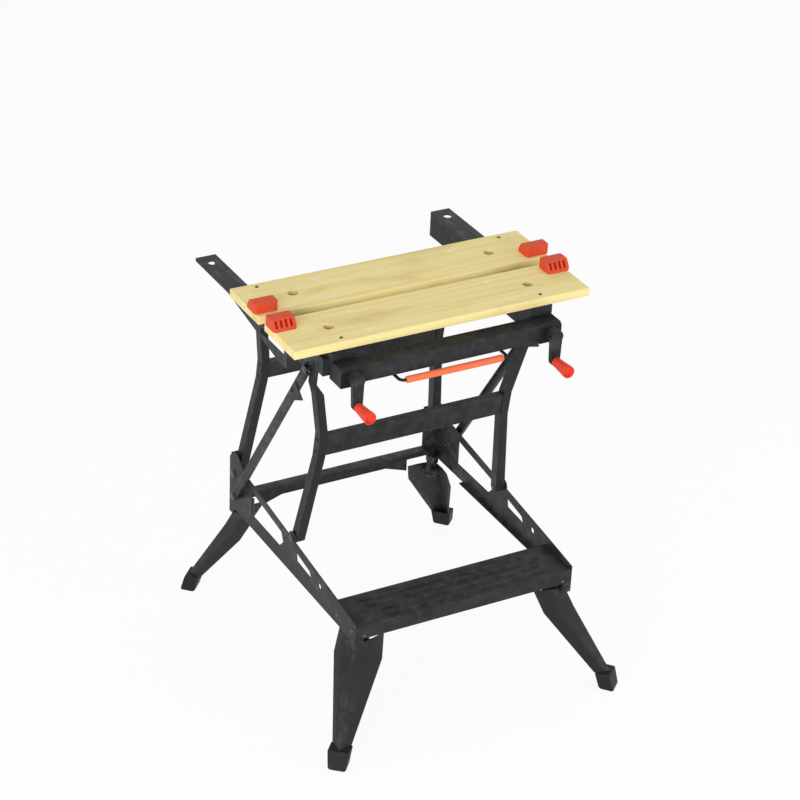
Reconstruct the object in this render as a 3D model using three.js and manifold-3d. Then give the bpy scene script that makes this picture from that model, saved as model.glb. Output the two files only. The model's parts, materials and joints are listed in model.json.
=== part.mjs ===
// Folding workbench with a two-screw vise top and fold-out legs.
// Millimetres: x to the right, y to the rear, z up, floor at z = 0.
import * as THREE from "three";
import { ConvexGeometry } from "three/addons/geometries/ConvexGeometry.js";
import { mergeVertices } from "three/addons/utils/BufferGeometryUtils.js";
import Module from "manifold-3d";

const wasm = await Module();
wasm.setup();

// Fits
const FIT = 0.3;
const RUN = 0.45;
const OVERCUT = 1;
const FACETS = 20;
const GRIP_FACETS = 24;

// Jaws and their carriers
const WORK_HEIGHT = 775;
const JAW_LENGTH = 610;
const JAW_DEPTH = 121;
const JAW_THICKNESS = 17;
const JAW_GAP = 24;
const HOLE_RADIUS = 10;
const PEG_END_MARGIN = 20;
const PEG_SETBACK = 26;
const SPARE_HOLE_OFFSET = 2;
const SPARE_HOLE_SETBACK = 60;
const CARRIER_HEIGHT = 22;
const CARRIER_PLATE = 6;
const CARRIER_MARGIN = 4;
const RUNNER_MARGIN = 7;
const NUT_LENGTH = 30;
const NUT_Y = 60;
const NUT_NECK = 20;
const NUT_PLATE_LENGTH = 70;

// Side rails
const RAIL_STANDOFF = 2;
const RAIL_WIDTH = 42;
const RAIL_HEIGHT = 52;
const RAIL_WALL = 2.5;
const RAIL_FRONT = -85;
const RAIL_REAR = 344;
const CHEEK_FRONT = -48;
const CHEEK_FLAT_END = -10;
const CHEEK_TAPER_END = 200;
const CHEEK_DEPTH = 44;
const CHEEK_LIP = 7;
const CHEEK_SLOT_LENGTH = 96;
const CHEEK_SLOT_HEIGHT = 12;
const CHEEK_SLOT_DROP = 16;
const RAIL_HOLE_RADIUS = 8;
const RAIL_HOLE_INSET = 31;
const TIE_LENGTH = 33;
const TIE_DROP = 36;

// Vise channels, screws and front beam
const CHANNEL_WIDTH = 35;
const CHANNEL_HEIGHT = 38;
const CHANNEL_WALL = 3;
const CHANNEL_REAR = 176;
const CAP_FRONT = -165;
const CAP_LENGTH = 45;
const CAP_WIDTH = 47;
const CAP_CHAMFER = 5;
const SCREW_RADIUS = 7;
const SCREW_DROP = 16;
const SCREW_NOSE = 19;
const SCREW_TAIL = 2;
const BEAM_HEIGHT = 32;
const BEAM_DEPTH = 38;
const BEAM_WALL = 2.5;
const BEAM_SETBACK = 2;

// Cranks
const CRANK_REACH = 50;
const CRANK_HUB_RADIUS = 13;
const CRANK_HUB_LENGTH = 19;
const CRANK_STANDOFF = 5;
const CRANK_ARM_THICKNESS = 10;
const CRANK_ARM_WIDTH = 23;
const CRANK_END_RADIUS = 9.5;
const SPINDLE_RADIUS = 5;
const GRIP_LENGTH = 47;
const GRIP_INNER_RADIUS = 9;
const GRIP_OUTER_RADIUS = 12;
const GRIP_RECESS = 6;
const GRIP_WALL = 2.5;

// Release bail
const BAIL_SPAN = 222;
const BAIL_RADIUS = 3;
const BAIL_BEND = 10;
const BAIL_STEPS = 5;
const BAIL_FACETS = 12;
const BAIL_FRONT = -173;
const BAIL_LENGTH = 81;
const BAIL_DROP = 9;
const GUIDE_WIDTH = 16;
const SLEEVE_RADIUS = 6.5;

// Swivel pegs
const PEG_LENGTH = 47;
const PEG_FACE = 17.5;
const PEG_BACK = 19;
const PEG_HEIGHT = 20.5;
const PEG_TOE = 3;
const PEG_CREST = -7;
const PEG_CHAMFER = 3.5;
const PEG_EASE = 2.5;
const PEG_SLOT_PITCH = 9.8;
const PEG_SLOT_WIDTH = 4.8;
const PEG_SLOT_DEPTH = 6;
const PEG_SLOT_MARGIN = 2.5;
const PEG_SLOTS = 4;

// Frames that carry the top
const BASE_PIVOT_HEIGHT = 292;
const FRONT_PIVOT_Y = 1;
const PIVOT_SPAN = 258;
const LEAN = 65;
const PIVOT_DROP = 42;
const FRAME_DEPTH = 20;
const FRAME_GAP = 1.5;
const FRAME_FOOT_WIDTH = 20;
const FRONT_WAIST_INSET = 42.5;
const REAR_WAIST_INSET = 46.5;
const FRAME_WAIST_WIDTH = 17;
const FRONT_KINK_INSET = 23.5;
const REAR_KINK_INSET = 36.5;
const FRAME_KINK_DROP = 64;
const REAR_TONGUE_INSET = 18.5;
const FRAME_WALL = 3;
const TONGUE_GAP = 2.25;
const TONGUE_THICKNESS = 8;
const TONGUE_LENGTH = 37;
const PIN_RADIUS = 4.5;
const PIN_HEAD_RADIUS = 8;
const PIN_HEAD = 3;
const PIN_TAIL = 2;
const FRONT_CROSSBAR_Z = 507;
const FRONT_CROSSBAR_HEIGHT = 47;
const REAR_CROSSBAR_Z = 538;
const REAR_CROSSBAR_HEIGHT = 37;
const CROSSBAR_DEPTH = 16;

// Struts
const STRUT_PIVOT_Y = 228;
const STRUT_PIVOT_DROP = 30;
const STRUT_GAP = 2.5;
const STRUT_THICKNESS = 8;
const STRUT_WIDTH = 18;
const STRUT_PRONG = 10;
const STRUT_SEAT_CLEARANCE = 1;
const STRUT_WALL = 2.5;
const LATCH_LENGTH = 49;
const LATCH_SETBACK = 48;
const LATCH_REACH = 35;
const LATCH_THICKNESS = 3;

// Base
const JAW_OVERHANG = 72;
const BASE_FRONT = -261;
const BASE_REAR = 276;
const SIDE_WALL = 2.5;
const SIDE_BOTTOM_DROP = 78;
const SIDE_FRONT_DROP = 36;
const SIDE_REAR_RISE = 51;
const SIDE_RISE = 0.1315;
const SIDE_EDGE_DROP = 1;
const SIDE_BAND = 17;
const SIDE_FLANGE = 10;
const SIDE_FLANGE_HALF = 150;
const WINDOW_RISE = 30.6;
const SLOT_LENGTH = 61.2;
const EAR_RADIUS = 14;
const EAR_LENGTH = 62;
const STEP_DROP = 43;
const STEP_DEPTH = 98;
const STEP_WALL = 2.5;
const STEP_LIP = 29;
const STEP_REAR_LIP = 18;
const RIB_COUNT = 4;
const RIB_WIDTH = 8;
const RIB_HEIGHT = 2;
const RIB_END_MARGIN = 50;
const REAR_BAR_DROP = 51;
const REAR_BAR_HEIGHT = 25;
const REAR_BAR_BELLY = 9;
const REAR_BAR_FLANGE = 22;
const BRACKET_DROP = 10;
const BRACKET_WIDTH = 28;
const GUSSET_INSET = 62;
const GUSSET_LENGTH = 50;
const GUSSET_DEPTH = 26;

// Fold-out legs
const LEG_PIVOT_INSET = 28;
const LEG_PIVOT_SETBACK = 33;
const LEG_PIVOT_DROP = 96;
const LEG_TOP_RISE = 8;
const LEG_TIP_RISE = 4;
const LEG_BEND_DROP = 30;
const LEG_TOP_HALF = 42;
const LEG_BEND_HALF = 46;
const LEG_END_HALF = 18.5;
const LEG_WALL = 3;
const LEG_TOP_RIDGE = 38;
const LEG_BEND_RIDGE = 29;
const LEG_END_RIDGE = 11;
const LEG_TOP_EDGE = 5;
const LEG_BEND_EDGE = 10;
const LEG_END_EDGE = 11;
const KNUCKLE_RADIUS = 9;
const KNUCKLE_LENGTH = 12;
const LEG_PIN_RADIUS = 4;
const FIN_HALF = 5;
const FIN_NOSE = 9;
const FIN_DROP = 10;
const FIN_HEIGHT = 40;
const GUARD_DEPTH = 15;
const GUARD_LENGTH = 19;
const GUARD_CHAMFER = 5;
const FOOT_REACH = 55;
const FOOT_Y = 321.4;
const FOOT_HALF_WIDTH = 17.5;
const FOOT_HALF_DEPTH = 15;
const FOOT_TOP_HALF_WIDTH = 21;
const FOOT_RAKE = 11;
const FOOT_CHAMFER = 4;
const FOOT_HEIGHT = 38;

// Positions that follow from the sizes
const jawBottom = WORK_HEIGHT - JAW_THICKNESS;
const railTop = jawBottom - CARRIER_HEIGHT;
const sideOut = JAW_LENGTH / 2 - JAW_OVERHANG;
const sideIn = sideOut - SIDE_WALL;
const webIn = sideOut + RAIL_STANDOFF;
const webOut = webIn + RAIL_WALL;
const railOut = webIn + RAIL_WIDTH;
const tongueOut = webIn - TONGUE_GAP;
const tongueIn = tongueOut - TONGUE_THICKNESS;
const channelOut = tongueIn - TONGUE_GAP;
const viseX = channelOut - CHANNEL_WIDTH / 2;
const channelBottom = railTop - CHANNEL_HEIGHT;
const capRear = CAP_FRONT + CAP_LENGTH;
const screwZ = railTop - SCREW_DROP;
const beamHalf = viseX - CAP_WIDTH / 2 - FIT;
const beamFront = CAP_FRONT + BEAM_SETBACK;
const beamTop = railTop - BEAM_SETBACK;
const beamBottom = beamTop - BEAM_HEIGHT;
const bailZ = beamBottom - BAIL_DROP;
const topPivotZ = railTop - PIVOT_DROP;
const frontTopY = FRONT_PIVOT_Y - LEAN;
const rearPivotY = FRONT_PIVOT_Y + PIVOT_SPAN;
const rearTopY = rearPivotY - LEAN;
const strutIn = webOut + STRUT_GAP;
const strutOut = strutIn + STRUT_THICKNESS;
const jawFront = -JAW_GAP / 2 - JAW_DEPTH;
const pegX = JAW_LENGTH / 2 - PEG_END_MARGIN;
const pegY = JAW_GAP / 2 + PEG_SETBACK;
const wallFrontIn = BASE_FRONT + STEP_WALL;
const wallRearIn = BASE_REAR - STEP_WALL;
const sideBottom = BASE_PIVOT_HEIGHT - SIDE_BOTTOM_DROP;
const sideFrontTop = BASE_PIVOT_HEIGHT - SIDE_FRONT_DROP;
const stepTop = BASE_PIVOT_HEIGHT - STEP_DROP;
const rearBarTop = BASE_PIVOT_HEIGHT - REAR_BAR_DROP;
const legPivotZ = BASE_PIVOT_HEIGHT - LEG_PIVOT_DROP;
const strutPivotZ = BASE_PIVOT_HEIGHT - STRUT_PIVOT_DROP;
const sideRearTop = BASE_PIVOT_HEIGHT + SIDE_REAR_RISE;
const bracketTop = sideRearTop - BRACKET_DROP;
const legTopZ = legPivotZ + LEG_TOP_RISE;
const legBendZ = legPivotZ - LEG_BEND_DROP;
const finTop = legPivotZ + FIN_HEIGHT;
const footX = sideOut + FOOT_REACH;
const frontWaistX = sideIn - FRONT_WAIST_INSET;
const rearWaistX = sideIn - REAR_WAIST_INSET;
const frontKinkX = sideIn - FRONT_KINK_INSET;
const rearKinkX = sideIn - REAR_KINK_INSET;
const rearTongueX = sideIn - REAR_TONGUE_INSET;
const spareHoleX = viseX + SPARE_HOLE_OFFSET;

const SIDES = [["left", -1], ["right", 1]];

// Materials
const steel = new THREE.MeshStandardMaterial({ color: 0x2b2c2e, roughness: 0.45, metalness: 0.3 });
const bright = new THREE.MeshStandardMaterial({ color: 0x8a8c8f, roughness: 0.35, metalness: 0.9 });
const plastic = new THREE.MeshStandardMaterial({ color: 0x1d1d1f, roughness: 0.6, metalness: 0 });
const timber = new THREE.MeshStandardMaterial({ color: 0xe4d08c, roughness: 0.6, metalness: 0 });
const orange = new THREE.MeshStandardMaterial({ color: 0xe8552f, roughness: 0.5, metalness: 0 });

// A three.js geometry as a solid that can be cut and joined.
function solid(geometry) {
  const bare = geometry.clone();
  bare.deleteAttribute("normal");
  bare.deleteAttribute("uv");
  const merged = mergeVertices(bare, 1e-4);
  const vertProperties = new Float32Array(merged.attributes.position.array);
  const triVerts = new Uint32Array(merged.index.array);
  return new wasm.Manifold(new wasm.Mesh({ numProp: 3, vertProperties, triVerts }));
}

function box(xa, xb, ya, yb, za, zb) {
  const geometry = new THREE.BoxGeometry(Math.abs(xb - xa), Math.abs(yb - ya), Math.abs(zb - za));
  geometry.translate((xa + xb) / 2, (ya + yb) / 2, (za + zb) / 2);
  return solid(geometry);
}

function hull(points) {
  return solid(new ConvexGeometry(points));
}

function vec(x, y, z) {
  return new THREE.Vector3(x, y, z);
}

// A round bar between two points.
function rod(from, to, radius, facets = FACETS) {
  const along = to.clone().sub(from);
  const geometry = new THREE.CylinderGeometry(radius, radius, along.length(), facets);
  const turn = new THREE.Quaternion().setFromUnitVectors(vec(0, 1, 0), along.clone().normalize());
  geometry.applyQuaternion(turn);
  const middle = from.clone().add(to).multiplyScalar(0.5);
  geometry.translate(middle.x, middle.y, middle.z);
  return solid(geometry);
}

function rodX(xa, xb, y, z, radius) {
  return rod(vec(xa, y, z), vec(xb, y, z), radius);
}

function rodY(x, ya, yb, z, radius) {
  return rod(vec(x, ya, z), vec(x, yb, z), radius);
}

function rodZ(x, y, za, zb, radius) {
  return rod(vec(x, y, za), vec(x, y, zb), radius);
}

// An outline of [y, z] points carried from xa to xb.
function plateX(outline, xa, xb) {
  const shape = new THREE.Shape(outline.map(([y, z]) => new THREE.Vector2(y, z)));
  const geometry = new THREE.ExtrudeGeometry(shape, { depth: Math.abs(xb - xa), bevelEnabled: false });
  const turn = new THREE.Matrix4().makeBasis(vec(0, 1, 0), vec(0, 0, 1), vec(1, 0, 0));
  geometry.applyMatrix4(turn);
  geometry.translate(Math.min(xa, xb), 0, 0);
  return solid(geometry);
}

// An outline of [x, y] points carried from za to zb.
function plateZ(outline, za, zb) {
  const shape = new THREE.Shape(outline.map(([x, y]) => new THREE.Vector2(x, y)));
  const geometry = new THREE.ExtrudeGeometry(shape, { depth: zb - za, bevelEnabled: false });
  geometry.translate(0, 0, za);
  return solid(geometry);
}

function join(pieces) {
  return pieces.reduce((whole, piece) => whole.add(piece));
}

function cut(body, tools) {
  return tools.reduce((rest, tool) => rest.subtract(tool), body);
}

// A named mesh made from a solid, placed at an optional position.
function node(name, body, material, position = vec(0, 0, 0)) {
  const made = body.getMesh();
  const geometry = new THREE.BufferGeometry();
  geometry.setAttribute("position", new THREE.BufferAttribute(made.vertProperties, 3));
  geometry.setIndex(new THREE.BufferAttribute(made.triVerts, 1));
  geometry.computeVertexNormals();
  const mesh = new THREE.Mesh(geometry, material);
  mesh.name = name;
  mesh.position.copy(position);
  return mesh;
}

// The four corners of the base, each with its leg pivot, foot, fold axis and outward heading.
function corner(name, side, end) {
  const wall = end < 0 ? BASE_FRONT : BASE_REAR;
  const pivot = vec(side * (sideOut - LEG_PIVOT_INSET), wall - end * LEG_PIVOT_SETBACK, legPivotZ);
  const outward = vec(side * footX - pivot.x, end * FOOT_Y - pivot.y, 0);
  const slope = outward.length() / (legPivotZ - FOOT_HEIGHT);
  outward.normalize();
  const axis = outward.clone().cross(vec(0, 0, 1));
  return { name, side, end, wall, pivot, slope, outward, axis };
}

const corners = [
  corner("front_left", -1, -1),
  corner("front_right", 1, -1),
  corner("rear_left", -1, 1),
  corner("rear_right", 1, 1),
];

// A point near a corner: across along the pin, out along the leg's heading, at height z.
function near(c, across, out, z) {
  const point = c.pivot.clone().addScaledVector(c.axis, across).addScaledVector(c.outward, out);
  return point.setZ(z);
}

// How far out the leg's centre line lies at height z.
function legOut(c, z) {
  return c.slope * (legPivotZ - z);
}

function pinBar(c, from, to, radius) {
  return rod(near(c, from, 0, legPivotZ), near(c, to, 0, legPivotZ), radius);
}

// The fin inside a corner: full depth within the base, with a tongue below it that carries the leg's pin.
function legFin(c) {
  const reach = LEG_PIVOT_INSET + LEG_PIVOT_SETBACK;
  const low = legPivotZ - FIN_DROP;
  const root = sideBottom + SIDE_WALL;
  const tongue = [
    [-FIN_NOSE, legPivotZ - FIN_DROP / 2], [-FIN_NOSE / 2, low], [FIN_NOSE / 2, low],
    [FIN_NOSE, legPivotZ - FIN_DROP / 2], [FIN_NOSE, root + SIDE_WALL], [-FIN_NOSE, root + SIDE_WALL],
  ];
  const web = [[-FIN_NOSE, root], [reach, root], [reach, finTop], [-FIN_NOSE, finTop]];
  const plates = [tongue, web].map((profile) => {
    return hull(profile.flatMap(([out, z]) => [near(c, -FIN_HALF, out, z), near(c, FIN_HALF, out, z)]));
  });
  const wallIn = c.wall - c.end * (STEP_WALL + FIT);
  const past = 2 * reach;
  const farX = c.side * (sideOut + past);
  const farY = c.wall + c.end * past;
  const beyondEnd = box(0, farX, wallIn, farY, 0, sideRearTop);
  const beyondSide = box(c.side * sideOut, farX, c.wall - c.end * past, farY, 0, sideRearTop);
  return cut(join(plates), [beyondEnd, beyondSide, pinBar(c, -reach, reach, LEG_PIN_RADIUS + FIT)]);
}

// The guard that wraps a corner of the base just above its leg.
function cornerGuard(c) {
  const low = sideBottom - GUARD_DEPTH;
  const endTop = (c.end < 0 ? stepTop - STEP_LIP : rearBarTop - REAR_BAR_HEIGHT) - FIT;
  const reach = GUARD_LENGTH - GUARD_CHAMFER;
  const along = [
    [c.wall, low], [c.wall - c.end * reach, low], [c.wall - c.end * GUARD_LENGTH, low + GUARD_CHAMFER],
    [c.wall - c.end * GUARD_LENGTH, sideBottom + SIDE_WALL], [c.wall, sideBottom + SIDE_WALL],
  ];
  const cheek = plateX(along, c.side * sideIn, c.side * sideOut);
  const points = [];
  for (const y of [c.wall, c.wall - c.end * STEP_WALL]) {
    points.push(vec(c.side * sideOut, y, low), vec(c.side * (sideOut - reach), y, low));
    points.push(vec(c.side * (sideOut - GUARD_LENGTH), y, low + GUARD_CHAMFER));
    points.push(vec(c.side * (sideOut - GUARD_LENGTH), y, endTop), vec(c.side * sideOut, y, endTop));
  }
  return cheek.add(hull(points));
}

function sideEdge(y) {
  return BASE_PIVOT_HEIGHT - SIDE_EDGE_DROP + SIDE_RISE * y;
}

function baseSide(side) {
  const earFront = BASE_REAR - EAR_LENGTH;
  const outline = [
    [BASE_FRONT, sideBottom],
    [BASE_REAR, sideBottom],
    [BASE_REAR, sideRearTop - SIDE_BAND],
    [BASE_REAR - SIDE_BAND, sideRearTop],
    [BASE_REAR - 2 * SIDE_BAND, sideRearTop],
    [earFront, sideEdge(earFront)],
    [BASE_FRONT + EAR_LENGTH, sideEdge(BASE_FRONT + EAR_LENGTH)],
    [BASE_FRONT, sideFrontTop],
  ];
  const plate = plateX(outline, side * sideIn, side * sideOut);
  const ear = rodX(side * sideIn, side * sideOut, FRONT_PIVOT_Y, BASE_PIVOT_HEIGHT, EAR_RADIUS);
  const flange = box(
    side * (sideIn - SIDE_FLANGE), side * sideOut,
    -SIDE_FLANGE_HALF, SIDE_FLANGE_HALF, sideBottom, sideBottom + SIDE_WALL,
  );
  const ends = corners.filter((c) => c.side === side).flatMap((c) => [legFin(c), cornerGuard(c)]);
  const windowFront = FRONT_PIVOT_Y + 2 * EAR_RADIUS + SIDE_BAND;
  const windowRear = STRUT_PIVOT_Y - 3 * SIDE_BAND;
  const windowBottom = sideBottom + WINDOW_RISE;
  const window = [
    [windowFront - SIDE_BAND / 2, windowBottom + SIDE_BAND],
    [windowFront + SIDE_BAND / 2, windowBottom],
    [windowRear, windowBottom],
    [windowRear, sideEdge(windowRear) - SIDE_BAND],
    [windowFront, sideEdge(windowFront) - SIDE_BAND],
  ];
  const slotRear = FRONT_PIVOT_Y - EAR_RADIUS - SIDE_BAND / 2;
  const slotFront = slotRear - SLOT_LENGTH;
  const slot = [
    [slotFront, windowBottom + SIDE_BAND / 4],
    [slotRear, windowBottom + SIDE_BAND / 2],
    [slotRear + SIDE_BAND / 4, sideEdge(slotRear) - SIDE_BAND],
    [slotFront + SIDE_BAND / 2, windowBottom + SIDE_BAND],
  ];
  const past = side * (sideOut + SIDE_WALL);
  const short = side * (sideIn - SIDE_WALL);
  const tools = [
    plateX(window, short, past),
    plateX(slot, short, past),
    rodX(short, past, slotFront - 2 * SIDE_BAND, windowBottom + SIDE_BAND / 2, SIDE_BAND / 3),
    rodX(short, past, FRONT_PIVOT_Y, BASE_PIVOT_HEIGHT, PIN_RADIUS + FIT),
    rodX(short, past, rearPivotY, BASE_PIVOT_HEIGHT, PIN_RADIUS + FIT),
    rodX(short, past, STRUT_PIVOT_Y, strutPivotZ, PIN_RADIUS + FIT),
  ];
  return cut(join([plate, ear, flange, ...ends]), tools);
}

function step() {
  const half = sideIn - FIT;
  const rear = BASE_FRONT + STEP_DEPTH;
  const top = box(-half, half, BASE_FRONT, rear, stepTop - STEP_WALL, stepTop);
  const lip = box(-half, half, BASE_FRONT, wallFrontIn, stepTop - STEP_LIP, stepTop);
  const rearLip = box(-half, half, rear - STEP_WALL, rear, stepTop - STEP_REAR_LIP, stepTop);
  const pieces = [top, lip, rearLip];
  const pitch = STEP_DEPTH / (RIB_COUNT + 1);
  const ribHalf = half - RIB_END_MARGIN;
  for (let i = 1; i <= RIB_COUNT; i += 1) {
    const y = BASE_FRONT + i * pitch;
    const ribFront = y - RIB_WIDTH / 2;
    const ribRear = y + RIB_WIDTH / 2;
    pieces.push(box(-ribHalf, ribHalf, ribFront, ribRear, stepTop - STEP_WALL, stepTop + RIB_HEIGHT));
  }
  return join(pieces);
}

function rearBar() {
  const half = sideIn - FIT;
  const bottom = rearBarTop - REAR_BAR_HEIGHT;
  const flangeHalf = half - BRACKET_WIDTH;
  const flangeLow = rearBarTop - STEP_WALL;
  const bellyHalf = half - GUSSET_INSET - GUSSET_LENGTH;
  const pieces = [
    box(-half, half, wallRearIn, BASE_REAR, bottom, rearBarTop),
    box(-flangeHalf, flangeHalf, BASE_REAR - REAR_BAR_FLANGE, BASE_REAR, flangeLow, rearBarTop),
    box(-bellyHalf, bellyHalf, wallRearIn, BASE_REAR, bottom - REAR_BAR_BELLY, rearBarTop),
  ];
  for (const side of [-1, 1]) {
    pieces.push(box(side * flangeHalf, side * half, wallRearIn, BASE_REAR, flangeLow, bracketTop));
    const outer = side * (half - GUSSET_INSET);
    const inner = side * bellyHalf;
    const gusset = [];
    for (const y of [wallRearIn, BASE_REAR]) {
      gusset.push(vec(outer, y, flangeLow), vec(inner, y, flangeLow));
      gusset.push(vec(outer, y, bottom - GUSSET_DEPTH), vec(inner, y, bottom - REAR_BAR_BELLY));
    }
    pieces.push(hull(gusset));
  }
  return join(pieces);
}

function legPin(c) {
  const reach = FIN_HALF + RUN + KNUCKLE_LENGTH + PIN_TAIL / 2;
  return pinBar(c, -reach, reach, LEG_PIN_RADIUS);
}

// A pressed angle leg: two wings that meet in a ridge facing out, with knuckles webbed between them.
function foldLeg(c) {
  const levels = [
    [legTopZ, LEG_TOP_HALF, LEG_TOP_RIDGE, LEG_TOP_EDGE, LEG_TIP_RISE],
    [legBendZ, LEG_BEND_HALF, LEG_BEND_RIDGE, LEG_BEND_EDGE, 0],
    [FOOT_HEIGHT + FIT, LEG_END_HALF, LEG_END_RIDGE, LEG_END_EDGE, 0],
  ];
  const pieces = [];
  for (const sense of [-1, 1]) {
    for (const pair of [levels.slice(0, 2), levels.slice(1)]) {
      const points = [];
      for (const [z, half, ridge, edge, rise] of pair) {
        const crest = legOut(c, z) + ridge;
        const hem = legOut(c, z) - edge;
        const tip = z + rise;
        points.push(near(c, 0, crest, z), near(c, 0, crest - LEG_WALL, z));
        points.push(near(c, sense * half, hem, tip), near(c, sense * half, hem - LEG_WALL, tip));
      }
      pieces.push(hull(points));
    }
  }
  const gap = FIN_HALF + RUN;
  const reach = gap + KNUCKLE_LENGTH;
  const webOuter = LEG_TOP_RIDGE - (LEG_TOP_RIDGE + LEG_TOP_EDGE) * reach / LEG_TOP_HALF;
  for (const sense of [-1, 1]) {
    pieces.push(pinBar(c, sense * gap, sense * reach, KNUCKLE_RADIUS));
    const web = [];
    for (const across of [sense * gap, sense * reach]) {
      for (const z of [legPivotZ - KNUCKLE_RADIUS / 2, legPivotZ + KNUCKLE_RADIUS / 2]) {
        web.push(near(c, across, 0, z), near(c, across, webOuter, z));
      }
    }
    pieces.push(hull(web));
  }
  const slotLow = legPivotZ - FIN_DROP - 2 * LEG_WALL;
  const slotIn = -LEG_PIVOT_SETBACK;
  const slotOut = 2 * FIN_NOSE + RUN;
  const slot = [];
  for (const z of [slotLow, legTopZ + LEG_TIP_RISE]) {
    slot.push(near(c, -gap, slotIn, z), near(c, gap, slotIn, z));
    slot.push(near(c, -gap, slotOut, z), near(c, gap, slotOut, z));
  }
  const bore = pinBar(c, -2 * KNUCKLE_LENGTH, 2 * KNUCKLE_LENGTH, LEG_PIN_RADIUS + RUN);
  return cut(join(pieces), [hull(slot), bore]);
}

function footCap(c) {
  const middle = legOut(c, FOOT_HEIGHT);
  const levels = [
    [0, FOOT_HALF_WIDTH - FOOT_CHAMFER, FOOT_HALF_DEPTH - FOOT_CHAMFER],
    [FOOT_CHAMFER, FOOT_HALF_WIDTH, FOOT_HALF_DEPTH],
    [FOOT_HEIGHT, FOOT_TOP_HALF_WIDTH, FOOT_HALF_DEPTH],
  ];
  const points = [];
  for (const [z, half, depth] of levels) {
    const out = middle + FOOT_RAKE * (1 - z / FOOT_HEIGHT);
    for (const across of [-half, half]) {
      points.push(near(c, across, out - depth, z), near(c, across, out + depth, z));
    }
  }
  return hull(points);
}

// A pivot pin along x: a shaft with collars given as [from, to, radius].
function pivotPin(side, y, z, from, to, collars) {
  const shaft = rodX(side * from, side * to, y, z, PIN_RADIUS);
  return join([shaft, ...collars.map(([a, b, r]) => rodX(side * a, side * b, y, z, r))]);
}

// A leg of an H-frame, leaning from its lower pivot to its upper pivot.
function frameLeg(side, frame) {
  const { pivotY, crossbarZ, crossbarHeight, waistX, kinkX, tongueX } = frame;
  const rise = topPivotZ - BASE_PIVOT_HEIGHT;
  const centreY = (z) => pivotY - LEAN * (z - BASE_PIVOT_HEIGHT) / rise;
  const footOut = sideIn - FRAME_GAP;
  const footIn = footOut - FRAME_FOOT_WIDTH;
  const waistOut = waistX + FRAME_WAIST_WIDTH;
  const waistLow = crossbarZ - crossbarHeight / 2 - FRAME_WALL;
  const waistHigh = crossbarZ + crossbarHeight / 2 + FRAME_WALL;
  const kink = topPivotZ - FRAME_KINK_DROP;
  const shoulder = topPivotZ - TONGUE_LENGTH;
  const half = FRAME_DEPTH / 2;
  const ring = (z, inner, outer, front, rear) => [
    vec(side * inner, centreY(z) + front, z), vec(side * outer, centreY(z) + front, z),
    vec(side * inner, centreY(z) + rear, z), vec(side * outer, centreY(z) + rear, z),
  ];
  const tongueFrom = tongueX - TONGUE_THICKNESS;
  const rings = [
    ring(BASE_PIVOT_HEIGHT, footIn, footOut, -half, half),
    ring(waistLow, waistX, waistOut, -half, half),
    ring(waistHigh, waistX, waistOut, -half, half),
    ring(kink, kinkX, kinkX + FRAME_WAIST_WIDTH, -half, half),
    ring(shoulder, tongueFrom, tongueX, -half, half),
    ring(topPivotZ, tongueFrom, tongueX, -half, half),
  ];
  const pieces = [
    rodX(side * footIn, side * footOut, pivotY, BASE_PIVOT_HEIGHT, half),
    rodX(side * tongueFrom, side * tongueX, pivotY - LEAN, topPivotZ, half),
  ];
  for (let i = 1; i < rings.length; i += 1) {
    pieces.push(hull([...rings[i - 1], ...rings[i]]));
  }
  const pocketLow = BASE_PIVOT_HEIGHT + FRAME_DEPTH;
  const share = (pocketLow - BASE_PIVOT_HEIGHT) / (waistLow - BASE_PIVOT_HEIGHT);
  const lowIn = footIn + share * (waistX - footIn);
  const lowOut = footOut + share * (waistOut - footOut);
  const pocketFront = FRAME_WALL - half;
  const pocketRing = (z, inner, outer) =>
    ring(z, inner + FRAME_WALL, outer - FRAME_WALL, pocketFront, FRAME_DEPTH);
  const pocketRings = [
    pocketRing(pocketLow, lowIn, lowOut),
    pocketRing(waistLow, waistX, waistOut),
    pocketRing(waistHigh, waistX, waistOut),
  ];
  const tools = [
    hull([...pocketRings[0], ...pocketRings[1]]),
    hull([...pocketRings[1], ...pocketRings[2]]),
    rodX(side * footIn / 2, side * webOut, pivotY, BASE_PIVOT_HEIGHT, PIN_RADIUS + RUN),
    rodX(side * footIn / 2, side * webOut, pivotY - LEAN, topPivotZ, PIN_RADIUS + RUN),
  ];
  return cut(join(pieces), tools);
}

function crossbar({ pivotY, crossbarZ: z, crossbarHeight: height, waistX }) {
  const rise = topPivotZ - BASE_PIVOT_HEIGHT;
  const centreY = (at) => pivotY - LEAN * (at - BASE_PIVOT_HEIGHT) / rise;
  const low = z - height / 2;
  const high = z + height / 2;
  const half = CROSSBAR_DEPTH / 2;
  const outline = (front, rear, inset) => [
    [centreY(low + inset) + front, low + inset],
    [centreY(low + inset) + rear, low + inset],
    [centreY(high - inset) + rear, high - inset],
    [centreY(high - inset) + front, high - inset],
  ];
  const reach = waistX - FIT;
  const bar = plateX(outline(-half, half, 0), -reach, reach);
  const inner = reach - FRAME_WALL;
  return bar.subtract(plateX(outline(FRAME_WALL - half, CROSSBAR_DEPTH, FRAME_WALL), -inner, inner));
}

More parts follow.
